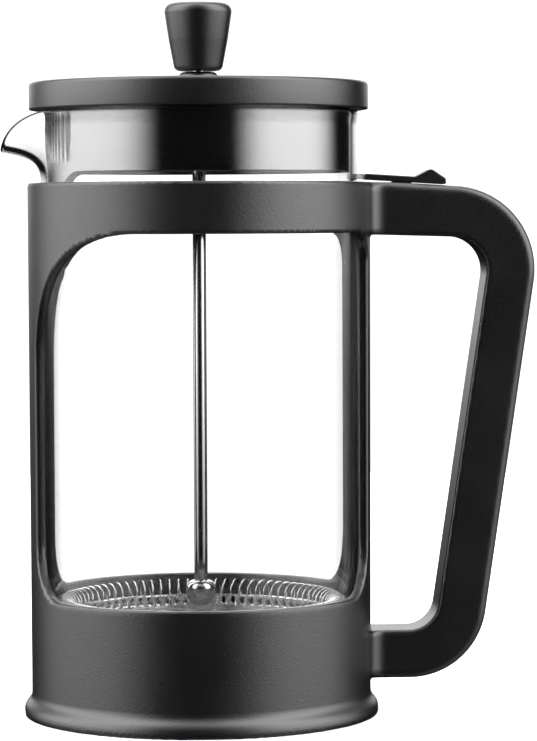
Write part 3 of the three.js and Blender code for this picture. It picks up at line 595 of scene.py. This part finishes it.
def slot_distance(x, y, z):
    """Signed distance to the latch's T-slot in the upper arm."""
    cos, sin = math.cos(UPPER_ARM_SLOPE), math.sin(UPPER_ARM_SLOPE)
    dx, dz = x - WALL_R - UPPER_ARM_LEVEL, z - FRAME_HEIGHT
    along, up = dx * cos - dz * sin, dx * sin + dz * cos
    ends = np.maximum(SLOT_START - along, along - SLOT_START - SLOT_LENGTH)
    deep = np.maximum(ends, -SLOT_DEPTH - up)
    neck = np.maximum(deep, np.abs(y) - SLOT_NECK / 2)
    foot = np.maximum(np.maximum(deep, np.abs(y) - SLOT_FOOT / 2), up + SLOT_DEPTH - SLOT_FOOT_HEIGHT)
    return np.minimum(neck, foot)


def rounded_and(first, second, radius):
    """Intersection of two fields whose common edge is an arc of this radius."""
    a, b = first + radius, second + radius
    return np.hypot(np.maximum(a, 0), np.maximum(b, 0)) - radius + np.minimum(np.maximum(a, b), 0)


def frame_field(x, y, z):
    r = np.hypot(x, y)
    wall = r - WALL_R - FRAME_DRAFT * z / FRAME_HEIGHT
    side = smooth_min(np.abs(y) - HANDLE_WIDTH / 2, wall, HANDLE_FILLET)
    handle = rounded_and(outline_distance(HANDLE_OUTLINE, x, z), side, HANDLE_EDGE)
    handle = rounded_and(handle, -outline_distance(FINGER_GAP, x, z), HANDLE_INNER_EDGE)
    cove = ((r - FOOT_R) * FOOT_COVE + (z - FOOT_TOP) * FOOT_OVERHANG) / math.hypot(FOOT_COVE, FOOT_OVERHANG)
    foot = rounded_and(r - FOOT_R, cove, FOOT_EDGE)
    body = smooth_min(smooth_min(wall, handle, WALL_BLEND), foot, FOOT_BLEND)
    body = rounded_and(body, z - FRAME_HEIGHT, TOP_EDGE)
    body = rounded_and(body, -z, BASE_EDGE)
    bore = np.maximum(r - BORE_R, SEAT_Z - z)
    well = np.maximum(r - BORE_R + SEAT_WIDTH, FLOOR_TOP - z)
    recess = np.maximum(np.maximum(r - FOOT_R + FOOT_LAND, GATE_PAD_R - r), z - FLOOR_RECESS)
    body = smooth_max(body, -bore, BORE_EDGE)
    body = smooth_max(body, -well, FLOOR_EDGE)
    body = smooth_max(body, -recess, FLOOR_EDGE)
    window = window_distance(np.arctan2(x, np.abs(y)) * WALL_R, z)
    body = rounded_and(body, -np.maximum(window, BORE_R - 4 - r), WINDOW_EDGE)
    body = np.maximum(body, -slot_distance(x, y, z))
    for i in range(DRAIN_COUNT):
        angle = (i + 0.5) * 2 * math.pi / DRAIN_COUNT
        off = np.hypot(x - DRAIN_CIRCLE_R * math.cos(angle), y - DRAIN_CIRCLE_R * math.sin(angle))
        body = smooth_max(body, -np.maximum(off - DRAIN_R, z - FLOOR_TOP - 2), DRAIN_EDGE)
    return body


def slope_of(points, reach):
    slope = np.zeros_like(points)
    for axis in range(3):
        offset = np.zeros(3)
        offset[axis] = reach
        ahead = frame_field(*(points + offset).T)
        behind = frame_field(*(points - offset).T)
        slope[:, axis] = (ahead - behind) / (2 * reach)
    return slope


def surface_net(field, low, step):
    """Points and quads of the surface where a sampled field changes sign, with its edges kept crisp."""
    sign = field < 0
    cells = tuple(n - 1 for n in field.shape)
    number = np.full(cells, -1, np.int64)
    crossings = []
    faces = []
    for axis in range(3):
        u, v = [a for a in range(3) if a != axis]
        lower = [slice(None)] * 3
        upper = [slice(None)] * 3
        lower[axis], upper[axis] = slice(0, -1), slice(1, None)
        edges = np.argwhere(sign[tuple(lower)] != sign[tuple(upper)])
        keep = (edges[:, u] > 0) & (edges[:, v] > 0) & (edges[:, u] < cells[u]) & (edges[:, v] < cells[v])
        edges = edges[keep]
        ends = edges.copy()
        ends[:, axis] += 1
        start, end = field[tuple(edges.T)], field[tuple(ends.T)]
        share = start / (start - end)
        points = low + step * (edges + share[:, None] * (ends - edges))
        corners = []
        for du, dv in ((1, 1), (0, 1), (0, 0), (1, 0)):
            cell = edges.copy()
            cell[:, u] -= du
            cell[:, v] -= dv
            corners.append(cell)
        crossings.append((points, corners))
        flip = sign[tuple(edges.T)] if axis == 1 else ~sign[tuple(edges.T)]
        faces.append((corners, flip))
    for points, corners in crossings:
        for cell in corners:
            number[tuple(cell.T)] = 0
    active = np.argwhere(number == 0)
    number[tuple(active.T)] = np.arange(len(active))
    total = np.zeros((len(active), 3))
    hits = np.zeros(len(active))
    planes = []
    for points, corners in crossings:
        slope = slope_of(points, 0.02 * step)
        slope /= np.maximum(np.linalg.norm(slope, axis=1), 1e-9)[:, None]
        for cell in corners:
            index = number[tuple(cell.T)]
            np.add.at(total, index, points)
            np.add.at(hits, index, 1)
            planes.append((index, points, slope))
    middle = total / hits[:, None]
    matrix = np.tile(np.eye(3) * EDGE_SLACK, (len(active), 1, 1))
    target = np.zeros((len(active), 3))
    for index, points, slope in planes:
        np.add.at(matrix, index, slope[:, :, None] * slope[:, None, :])
        np.add.at(target, index, slope * (slope * (points - middle[index])).sum(1)[:, None])
    move = np.linalg.solve(matrix, target[:, :, None])[:, :, 0]
    placed = np.clip(middle + move, low + step * (active - 0.3), low + step * (active + 1.3))
    quads = []
    for corners, flip in faces:
        quad = np.stack([number[tuple(cell.T)] for cell in corners], 1)
        quad[flip] = quad[flip][:, ::-1]
        quads.append(quad)
    return placed, np.concatenate(quads)


def frame_skin(step):
    low = FRAME_LOW - 2 * step
    counts = np.ceil((FRAME_HIGH - FRAME_LOW) / step).astype(int) + 5
    x, y, z = (low[a] + step * np.arange(counts[a]) for a in range(3))
    field = frame_field(x[:, None, None], y[None, :, None], z[None, None, :])
    points, quads = surface_net(field, low, step)
    for _ in range(2):
        slope = slope_of(points, 0.1)
        steepness = np.maximum((slope**2).sum(1), 0.2)
        move = -frame_field(*points.T)[:, None] * slope / steepness[:, None]
        points = points + np.clip(move, -step / 2, step / 2)
    points = np.clip(points, FRAME_LOW, FRAME_HIGH)
    slope = slope_of(points, 0.3)
    normals = slope / np.maximum(np.linalg.norm(slope, axis=1), 1e-6)[:, None]
    return make_piece("frame_skin", points, quads.tolist(), "frame", "black_plastic", BLACK, "frame", normals)


# ----------------------------------------------------------------------------------------------------------
# Beaker
# ----------------------------------------------------------------------------------------------------------

def glass_outside(z, from_spout):
    """Radius and height of the glass's outside, at a height of the plain wall and an angle from the spout."""
    rise = np.clip((z - RIM_Z + RIM_FLARE_HEIGHT) / RIM_FLARE_HEIGHT, 0, 1)
    flare = RIM_FLARE * rise * rise * (3 - 2 * rise)
    aside = np.minimum(np.abs(from_spout) / SPOUT_HALF_ANGLE, 1)
    bell = np.cos(aside * math.pi / 2) ** 2
    t = np.clip((z - SPOUT_ROOT_Z) / SPOUT_ROOT, 0, 1)
    weights = [(1 - t) ** 3, 3 * t * (1 - t) ** 2, 3 * t * t * (1 - t), t**3]
    lip_r = weights[2] * 0.22 * SPOUT_REACH + weights[3] * SPOUT_REACH
    heights = (SPOUT_ROOT_Z, SPOUT_ROOT_Z + 0.3 * SPOUT_ROOT, RIM_Z - 1.15 * SPOUT_DROP, RIM_Z - SPOUT_DROP)
    lip_z = sum(w * h for w, h in zip(weights, heights))
    outward = bell * (2 - bell)
    downward = bell**1.5
    return BEAKER_R + flare + lip_r * outward, z + np.where(t > 0, (lip_z - z) * downward, 0)


def glass_wall(z, from_spout, depth, overshoot=0.0):
    step = 0.05
    r0, z0 = glass_outside(z - step, from_spout)
    r1, z1 = glass_outside(z, from_spout)
    length = np.hypot(r1 - r0, z1 - z0)
    along_r, along_z = (r1 - r0) / length, (z1 - z0) / length
    inset = depth * GLASS_WALL
    return r1 - along_z * inset + along_r * overshoot, z1 + along_r * inset + along_z * overshoot


def glass_beaker():
    base = BEAKER_LOW[2]
    straight = np.linspace(base + GLASS_HEEL + 8, SPOUT_ROOT_Z - 2, 10)
    levels = np.concatenate([straight, np.linspace(SPOUT_ROOT_Z, RIM_Z - GLASS_WALL / 2, 44)])
    near = np.linspace(-SPOUT_HALF_ANGLE, SPOUT_HALF_ANGLE, 97)[:-1]
    far = np.linspace(SPOUT_HALF_ANGLE, 2 * math.pi - SPOUT_HALF_ANGLE, 161)[:-1]
    angles = np.concatenate([near, far])
    from_spout = (angles + math.pi) % (2 * math.pi) - math.pi
    plain = np.ones_like(angles)
    bore = BEAKER_R - GLASS_WALL
    rows = []
    for r, z in arc(BEAKER_R - GLASS_HEEL, base + GLASS_HEEL, GLASS_HEEL, np.linspace(-90, 0, 9)):
        rows.append((r * plain, z * plain))
    rows += [glass_wall(z, from_spout, 0) for z in levels]
    for k in range(1, 8):
        turn = k * math.pi / 8
        overshoot = GLASS_WALL / 2 * math.sin(turn)
        rows.append(glass_wall(levels[-1], from_spout, (1 - math.cos(turn)) / 2, overshoot))
    rows += [glass_wall(z, from_spout, 1) for z in levels[::-1]]
    inner = GLASS_HEEL - GLASS_WALL
    floor = base + GLASS_FLOOR
    for r, z in arc(bore - inner, floor + inner, inner, np.linspace(0, -90, 7)):
        rows.append((r * plain, z * plain))
    points = [(0, 0, base)]
    count = len(angles)
    for r, z in rows:
        points.extend(np.stack([-r * np.cos(angles), -r * np.sin(angles), z + 0 * angles], 1))
    points.append((0, 0, floor))
    faces = []
    for i in range(len(rows) - 1):
        faces += band(1 + i * count, 1 + (i + 1) * count, count)
    last = 1 + (len(rows) - 1) * count
    for j in range(count):
        k = (j + 1) % count
        faces.append([0, 1 + k, 1 + j])
        faces.append([len(points) - 1, last + j, last + k])
    return make_piece("beaker_glass", points, faces, "beaker", "glass", GLASS, "beaker", sharp_degrees=60)


# ----------------------------------------------------------------------------------------------------------
# Lid, bush and knob
# ----------------------------------------------------------------------------------------------------------

def lid_cap():
    r = LID_HIGH[0]
    low, high = LID_LOW[2], LID_HIGH[2]
    edge_top = high - LID_CROWN
    corners = [
        (LID_HOLE_R, edge_top - LID_WALL),
        (r - LID_WALL, edge_top - LID_WALL, 0.6),
        (r - LID_WALL, low + LID_WALL, 0.3),
        (r - LID_SEAT, low + LID_WALL, 0.3),
        (r - LID_SEAT, low, 0.5),
        (r, low, 0.5),
        (r, edge_top - 0.1, 1.2),
        (r * 0.93, edge_top + 0.05, 3.0),
        (r * 0.55, high - 0.12, 8.0),
        (LID_HOLE_R, high),
    ]
    return turned_piece("lid_cover", corners, "lid", "black_plastic", BLACK, "lid_cap", 256, 8)


def corner_inset(distance, radius):
    share = np.clip((radius - distance) / radius, 0, 1)
    return radius * (1 - np.sqrt(1 - share * share))


def lid_liner():
    """Steel cup under the lid: a straining tongue with slits on the spout side, cut shorter all round."""
    outer, top, lowest = LINER_HIGH[0], LINER_HIGH[2], LINER_LOW[2]
    lid_z = LID_LOW[2]
    slit_low, slit_high = lid_z - SLIT_LOW, lid_z - SLIT_HIGH
    angles = []
    for i in range(SLIT_COUNT):
        middle = (i - (SLIT_COUNT - 1) / 2) * SLIT_PITCH
        half = SLIT_WIDTH / 2 / outer
        angles += [middle - half, middle, middle + half, middle + SLIT_PITCH / 2]
    angles = angles[:-1]
    rest = np.linspace(angles[-1], 2 * math.pi + angles[0], 150)[1:-1]
    angles = np.array(angles + rest.tolist())
    from_spout = np.abs((angles + math.pi) % (2 * math.pi) - math.pi)
    beyond = (from_spout - TONGUE_HALF_ANGLE) * outer
    tip = TONGUE_SHOULDER * 0.35
    beside = lid_z - LINER_DEPTH - corner_inset(np.maximum(beyond, 0), TONGUE_SHOULDER)
    tongue = lowest + corner_inset(np.maximum(-beyond, 0), tip)
    edge = np.where(beyond > 0, np.maximum(beside, lowest + tip), tongue)
    rows = [(0 * angles + outer, edge + (slit_low - 0.8 - edge) * t) for t in np.linspace(0, 1, 7)]
    slit_rows = range(len(rows), len(rows) + 2)
    profile = [(outer, z) for z in (slit_low, (slit_low + slit_high) / 2, slit_high)]
    profile += [(outer, z) for z in (slit_high + 2, top - LINER_BEND)]
    profile += arc(outer - LINER_BEND, top - LINER_BEND, LINER_BEND, np.linspace(0, 90, 7)[1:])
    profile += [(r, top) for r in (30.0, 15.0, LID_HOLE_R)]
    rows += [(0 * angles + r, 0 * angles + z) for r, z in profile]
    points = []
    for r, z in rows:
        points.extend(np.stack([-r * np.cos(angles), -r * np.sin(angles), z], 1))
    count = len(angles)
    faces = []
    for i in range(len(rows) - 1):
        quads = band(i * count, (i + 1) * count, count)
        if i in slit_rows:
            quads = [quad for j, quad in enumerate(quads) if j >= 4 * SLIT_COUNT - 1 or j % 4 >= 2]
        faces += quads
    piece = make_piece("lid_strainer", points, faces, "lid", "steel_sheet", SHADED_LINER_STEEL, "lid_liner")
    solidify(piece, SHEET)
    return piece


def solidify(piece, thickness):
    """Gives a sheet its thickness, away from the side that its faces look to."""
    made = piece.modifiers.new("thickness", "SOLIDIFY")
    made.thickness = thickness * MM
    made.offset = -1
    made.use_even_offset = True
    made.use_quality_normals = True


def rod_bush():
    low, high = span("rod_bush")
    boss_z = LID_HIGH[2] + PIECE_GAP
    clip_low, clip_high = span("bush_clip")
    groove_low, groove_high = clip_low[2] - PIECE_GAP, clip_high[2] + PIECE_GAP
    corners = [
        (ROD_BORE_R, low[2]),
        (SHANK_R, low[2], 0.5),
        (SHANK_R, groove_low),
        (GROOVE_R, groove_low),
        (GROOVE_R, groove_high),
        (SHANK_R, groove_high),
        (SHANK_R, boss_z),
        (high[0], boss_z, 0.3),
        (high[0], high[2], 1.4),
        (ROD_BORE_R, high[2], 0.4),
    ]
    return turned_piece("bush_collar", corners, "bush", "black_plastic", BLACK, "rod_bush", 96)


def knob_grip():
    low, high = KNOB_LOW[2] - KNOB_SKIRT, KNOB_HIGH[2]
    top_r = KNOB_HIGH[0] - 0.02
    bore_top = span("knob_insert")[1][2] + PIECE_GAP
    corners = [
        (0, bore_top),
        (KNOB_BORE_R, bore_top),
        (KNOB_BORE_R, low, 0.3),
        (7.2, low, 1.8),
        (9.0, low + 9.4, 12.0),
        (top_r, high - 0.3, 2.6),
        (5.0, high, 6.0),
        (0, high),
    ]
    return turned_piece("knob_grip", corners, "plunger", "black_plastic", BLACK, "knob", 160, 10)


def knob_insert():
    low, high = span("knob_insert")
    bore_top = span("plunger_rod")[1][2] + PIECE_GAP
    corners = [
        (0, bore_top),
        (ROD_BORE_R, bore_top),
        (ROD_BORE_R, low[2], 0.15),
        (high[0], low[2], 0.3),
        (high[0], high[2], 0.5),
        (0, high[2]),
    ]
    return turned_piece("knob_core", corners, "plunger", "polished_steel", POLISHED, "knob_insert", 96)


# ----------------------------------------------------------------------------------------------------------
# Plunger and filter
# ----------------------------------------------------------------------------------------------------------

def rod():
    low, high = span("plunger_rod")
    corners = [
        (0, low[2]),
        (ROD_R, low[2], 0.5),
        (ROD_R, high[2], 0.5),
        (0, high[2]),
    ]
    return turned_piece("rod_bar", corners, "plunger", "polished_steel", POLISHED, "plunger_rod", 64)


def hub():
    low, high = span("filter_hub")
    flange_z = low[2] + HUB_FLANGE
    corners = [
        (ROD_BORE_R, low[2]),
        (high[0], low[2], 0.3),
        (high[0], flange_z, 0.6),
        (HUB_R, flange_z, 0.3),
        (HUB_R, high[2], 2.3),
        (ROD_BORE_R, high[2], 0.3),
    ]
    return turned_piece("hub_nut", corners, "plunger", "polished_steel", POLISHED, "filter_hub", 96, 10)


def pierce(points, faces, outline, ring):
    """Faces between a closed outline and a hole that has one edge point for each of the outline's."""
    first = len(points)
    points.extend(ring)
    count = len(outline)
    for q in range(count):
        k = (q + 1) % count
        faces.append([outline[q], outline[k], first + k, first + q])


def floor_holes(points, faces, row, count, z):
    """Round holes in the plate's floor, between one ring of points and the next."""
    starts = [hole * count // PLATE_HOLES for hole in range(PLATE_HOLES + 1)]
    sides = []
    for start in starts[:-1]:
        a = start * 2 * math.pi / count
        sides.append(range(len(points), len(points) + len(PLATE_HOLE_STEPS)))
        points.extend((r * math.cos(a), r * math.sin(a), z) for r in PLATE_HOLE_STEPS)
    for hole in range(PLATE_HOLES):
        columns = range(starts[hole], starts[hole + 1] + 1)
        inner = [row * count + q % count for q in columns]
        outer = [(row + 1) * count + q % count for q in columns]
        outline = inner + list(sides[(hole + 1) % PLATE_HOLES]) + outer[::-1] + list(sides[hole])[::-1]
        a = (starts[hole] + starts[hole + 1]) * math.pi / count
        centre = Vector((PLATE_HOLE_CIRCLE_R * math.cos(a), PLATE_HOLE_CIRCLE_R * math.sin(a), z))
        ring = [tuple(centre + (Vector(points[i]) - centre).normalized() * PLATE_HOLE_R) for i in outline]
        pierce(points, faces, outline, ring)


def spring_plate():
    """Pressed dish whose upright rim has one drop-shaped hole for each turn of the coil."""
    rim_r = PLATE_HIGH[0]
    low, high = PLATE_LOW[2], PLATE_HIGH[2]
    count = COIL_TURNS * COLUMNS_PER_TURN
    angles = np.arange(count) * 2 * math.pi / count
    hole_z = COIL_LOW[2] + WIRE_R
    half = math.pi * rim_r / COIL_TURNS
    profile = [(r, low + z) for r, z in PLATE_FLOOR]
    profile += arc(rim_r - PLATE_BEND, low + PLATE_BEND, PLATE_BEND, np.linspace(-75, 0, 5))
    rim_row = len(profile)
    profile += [(rim_r, hole_z - half), (rim_r, hole_z + half), (rim_r, high)]
    points = []
    for r, z in profile:
        points.extend((r * math.cos(a), r * math.sin(a), z) for a in angles)
    faces = []
    for i in range(len(profile) - 1):
        if i not in (PLATE_HOLE_ROW, rim_row):
            faces += band(i * count, (i + 1) * count, count)
    floor_holes(points, faces, PLATE_HOLE_ROW, count, low + PLATE_PRESSING)
    for turn in range(COIL_TURNS):
        first = turn * COLUMNS_PER_TURN
        centre = (first + COLUMNS_PER_TURN / 2) * 2 * math.pi / count
        columns = [(first + q) % count for q in range(COLUMNS_PER_TURN + 1)]
        bottom = [rim_row * count + column for column in columns]
        top = [(rim_row + 1) * count + column for column in columns]
        outline = bottom + top[::-1]
        ring = []
        for corner in outline:
            place = Vector(points[corner])
            du = (math.atan2(place.y, place.x) - centre + math.pi) % (2 * math.pi) - math.pi
            direction = math.atan2(place.z - hole_z, du * rim_r)
            reach = DROP_R + DROP_TIP * max(math.sin(direction), 0) ** 5
            angle = centre + reach * math.cos(direction) / rim_r
            z = hole_z + reach * math.sin(direction)
            ring.append((rim_r * math.cos(angle), rim_r * math.sin(angle), z))
        pierce(points, faces, outline, ring)
    piece = make_piece("dish_plate", points, faces, "filter", "steel_sheet", PLATE_STEEL, "spring_plate")
    solidify(piece, SHEET)
    return piece


def wire_coil():
    """The helical spring wound round the plate's rim, one turn through each hole."""
    centre_r = PLATE_HIGH[0] - SHEET / 2
    loop_r = (COIL_HIGH[2] - COIL_LOW[2]) / 2 - WIRE_R
    centre_z = (COIL_HIGH[2] + COIL_LOW[2]) / 2
    per_turn = 20
    steps = COIL_TURNS * per_turn
    around = 6
    t = np.arange(steps) * 2 * math.pi / steps
    loop = t * COIL_TURNS

    def centre_line(t, loop):
        r = centre_r + loop_r * np.cos(loop)
        return np.stack([r * np.cos(t), r * np.sin(t), centre_z + loop_r * np.sin(loop)], 1)

    path = centre_line(t, loop)
    tangent = np.roll(path, -1, 0) - np.roll(path, 1, 0)
    tangent /= np.linalg.norm(tangent, axis=1)[:, None]
    out = np.stack([np.cos(loop) * np.cos(t), np.cos(loop) * np.sin(t), np.sin(loop)], 1)
    side = np.cross(tangent, out)
    side /= np.linalg.norm(side, axis=1)[:, None]
    out = np.cross(side, tangent)
    points = []
    for q in range(around):
        a = q * 2 * math.pi / around
        points.append(path + WIRE_R * (math.cos(a) * out + math.sin(a) * side))
    points = np.stack(points, 1).reshape(-1, 3)
    faces = []
    for i in range(steps):
        faces += band(i * around, ((i + 1) % steps) * around, around)
    coil = ("edge_coil", points, faces, "filter", "polished_steel", POLISHED, "coil_spring")
    return make_piece(*coil, sharp_degrees=80)


def wire_cloth():
    r, low, high = MESH_HIGH[0], MESH_LOW[2], MESH_HIGH[2]
    corners = [
        (MESH_HOLE_R, low),
        (r, low, 2.0),
        (r, high, 0.2),
        (r - MESH_SHEET, high, 0.2),
        (r - MESH_SHEET, low + MESH_SHEET, 1.4),
        (MESH_HOLE_R, low + MESH_SHEET),
    ]
    return turned_piece("wire_cloth", corners, "filter", "steel_mesh", WOVEN, "mesh_filter", 192)


# ----------------------------------------------------------------------------------------------------------
# Studio, in metres, with its bearings and angles in degrees
# ----------------------------------------------------------------------------------------------------------

EYE_DISTANCE = 0.964
EYE_HEIGHT = 0.153
AIM_ASIDE = 0.021
AIM_HEIGHT = 0.105
YAW = math.radians(2.6)
ROLL = math.radians(0.25)
SENSOR_MM = 36.0
FOCAL_MM = 153.0
WHITE = 1.35
FLOOR_R = 0.9
FLOOR_SIDES = 96
FLOOR_GLOW = 0.62
LEFT_PANEL = (-88, 0, 58, 2.7)
RIGHT_PANEL = (71, 0, 50, 2.9)
BACKDROP = (180, 16, 34, 1.6)
PANEL_LOWER_EDGE = (-0.24, 0.10, 0.12, 1.0)
BACKDROP_LOWER_EDGE = (-0.06, 0.06, 0.0, 1.0)
THROUGH_GLASS = (0.30, 0.70, 1.0, 0.12)
OVERHEAD = (0.3, 1.0, 0.008, 0.6)


def camera():
    data = bpy.data.cameras.new("camera")
    data.sensor_width = SENSOR_MM
    data.lens = FOCAL_MM
    data.clip_start = 0.05
    made = bpy.data.objects.new("camera", data)
    bpy.context.scene.collection.objects.link(made)
    eye = Vector((-EYE_DISTANCE * math.sin(YAW), -EYE_DISTANCE * math.cos(YAW), EYE_HEIGHT))
    aim = Vector((AIM_ASIDE * math.cos(YAW), -AIM_ASIDE * math.sin(YAW), AIM_HEIGHT))
    turn = (aim - eye).to_track_quat("-Z", "Y").to_matrix().to_4x4()
    made.matrix_world = Matrix.Translation(eye) @ turn @ Matrix.Rotation(-ROLL, 4, "Z")
    bpy.context.scene.camera = made


class Sky(Tree):
    """The world's node tree, with short calls for light from a direction."""

    def __init__(self):
        world = bpy.data.worlds.new("studio")
        bpy.context.scene.world = world
        world.use_nodes = True
        super().__init__(world.node_tree)
        self.tree.nodes.clear()
        self.way = self.node("ShaderNodeTexCoord").outputs["Generated"]

    def vector(self, operation, first, second, output="Vector"):
        made = self.node("ShaderNodeVectorMath", operation=operation)
        self.feed(first, made.inputs[0])
        self.feed(second, made.inputs[1])
        return made.outputs[output]

    def ramp(self, source, start, end, low, high):
        made = self.node("ShaderNodeMapRange", interpolation_type="SMOOTHSTEP")
        self.feed(source, made.inputs["Value"])
        for name, value in (("From Min", start), ("From Max", end), ("To Min", low), ("To Max", high)):
            made.inputs[name].default_value = value
        return made.outputs["Result"]

    def panel(self, bearing, core, edge, strength):
        """Light centred on a compass bearing from the camera's side, full to core degrees, gone at edge."""
        level = self.vector("NORMALIZE", self.vector("MULTIPLY", self.way, (1, 1, 0)), (0, 0, 0))
        angle = math.radians(bearing)
        close = self.vector("DOT_PRODUCT", level, (math.sin(angle), -math.cos(angle), 0), "Value")
        return self.ramp(close, math.cos(math.radians(edge)), math.cos(math.radians(core)), 0.0, strength)

    def paint(self, strength):
        ground = self.node("ShaderNodeBackground")
        ground.inputs["Color"].default_value = (1, 1, 1, 1)
        self.feed(strength, ground.inputs["Strength"])
        self.feed(ground.outputs["Background"], self.node("ShaderNodeOutputWorld").inputs["Surface"])


def studio_light():
    """Soft panels at both sides and behind, dim light from above, and white for what is seen directly.

    White is also what shows through the glass, darker far above and below.
    """
    sky = Sky()
    split = sky.node("ShaderNodeSeparateXYZ")
    sky.feed(sky.way, split.inputs["Vector"])
    height = split.outputs["Z"]
    left = sky.panel(*LEFT_PANEL)
    right = sky.panel(*RIGHT_PANEL)
    sides = sky.math("MULTIPLY", sky.math("ADD", left, right), sky.ramp(height, *PANEL_LOWER_EDGE))
    backdrop = sky.math("MULTIPLY", sky.panel(*BACKDROP), sky.ramp(height, *BACKDROP_LOWER_EDGE))
    lit = sky.math("ADD", sky.math("ADD", sides, backdrop), sky.ramp(height, *OVERHEAD))
    path = sky.node("ShaderNodeLightPath")
    bounces = sky.math("ADD", path.outputs["Glossy Depth"], path.outputs["Diffuse Depth"])
    unbounced = sky.math("SUBTRACT", 1.0, sky.math("MINIMUM", bounces, 1.0))
    level = sky.ramp(sky.math("ABSOLUTE", height), *THROUGH_GLASS)
    passed = sky.math("MULTIPLY", path.outputs["Is Transmission Ray"], unbounced)
    through = sky.math("MULTIPLY", passed, level)
    direct = sky.math("MAXIMUM", path.outputs["Is Camera Ray"], through)
    indirect = sky.math("SUBTRACT", 1.0, direct)
    sky.paint(sky.math("ADD", sky.math("MULTIPLY", lit, indirect), sky.math("MULTIPLY", direct, WHITE)))


def floor():
    mesh = bpy.data.meshes.new("floor")
    angles = np.arange(FLOOR_SIDES) * 2 * math.pi / FLOOR_SIDES
    ring = [(FLOOR_R * math.cos(a), FLOOR_R * math.sin(a), 0) for a in angles]
    mesh.from_pydata(ring, [], [list(range(FLOOR_SIDES))])
    made = bpy.data.objects.new("floor", mesh)
    bpy.context.scene.collection.objects.link(made)
    n = Nodes("floor")
    cloud = n.noise(3, 3)
    color = n.blend(cloud, (0.86, 0.86, 0.86, 1), (0.90, 0.90, 0.90, 1))
    mesh.materials.append(n.set(color=color, roughness=0.9, normal=n.bump(cloud, 0.0005, 0.1)))
    n.shader.inputs["Emission Color"].default_value = (1, 1, 1, 1)
    n.shader.inputs["Emission Strength"].default_value = FLOOR_GLOW
    made.visible_glossy = False
    made.visible_transmission = False


# ----------------------------------------------------------------------------------------------------------
# Making
# ----------------------------------------------------------------------------------------------------------

camera()
studio_light()
floor()
bpy.context.scene.view_settings.view_transform = "Standard"

frame_skin(SKIN_STEP)
glass_beaker()
lid_cap()
lid_liner()
rod_bush()
knob_grip()
knob_insert()
rod()
hub()
spring_plate()
wire_coil()
wire_cloth()

for name, look in {
    "latch_slider": BLACK,
    "latch_pad": PAD,
    "bush_clip": PLATE_STEEL,
    "mesh_eyelet": PLATE_STEEL,
    "cross_plate": PLATE_STEEL,
    "cross_plate_nut": PLATE_STEEL,
}.items():
    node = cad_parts[name]
    node.data.materials.clear()
    node.data.materials.append(look)
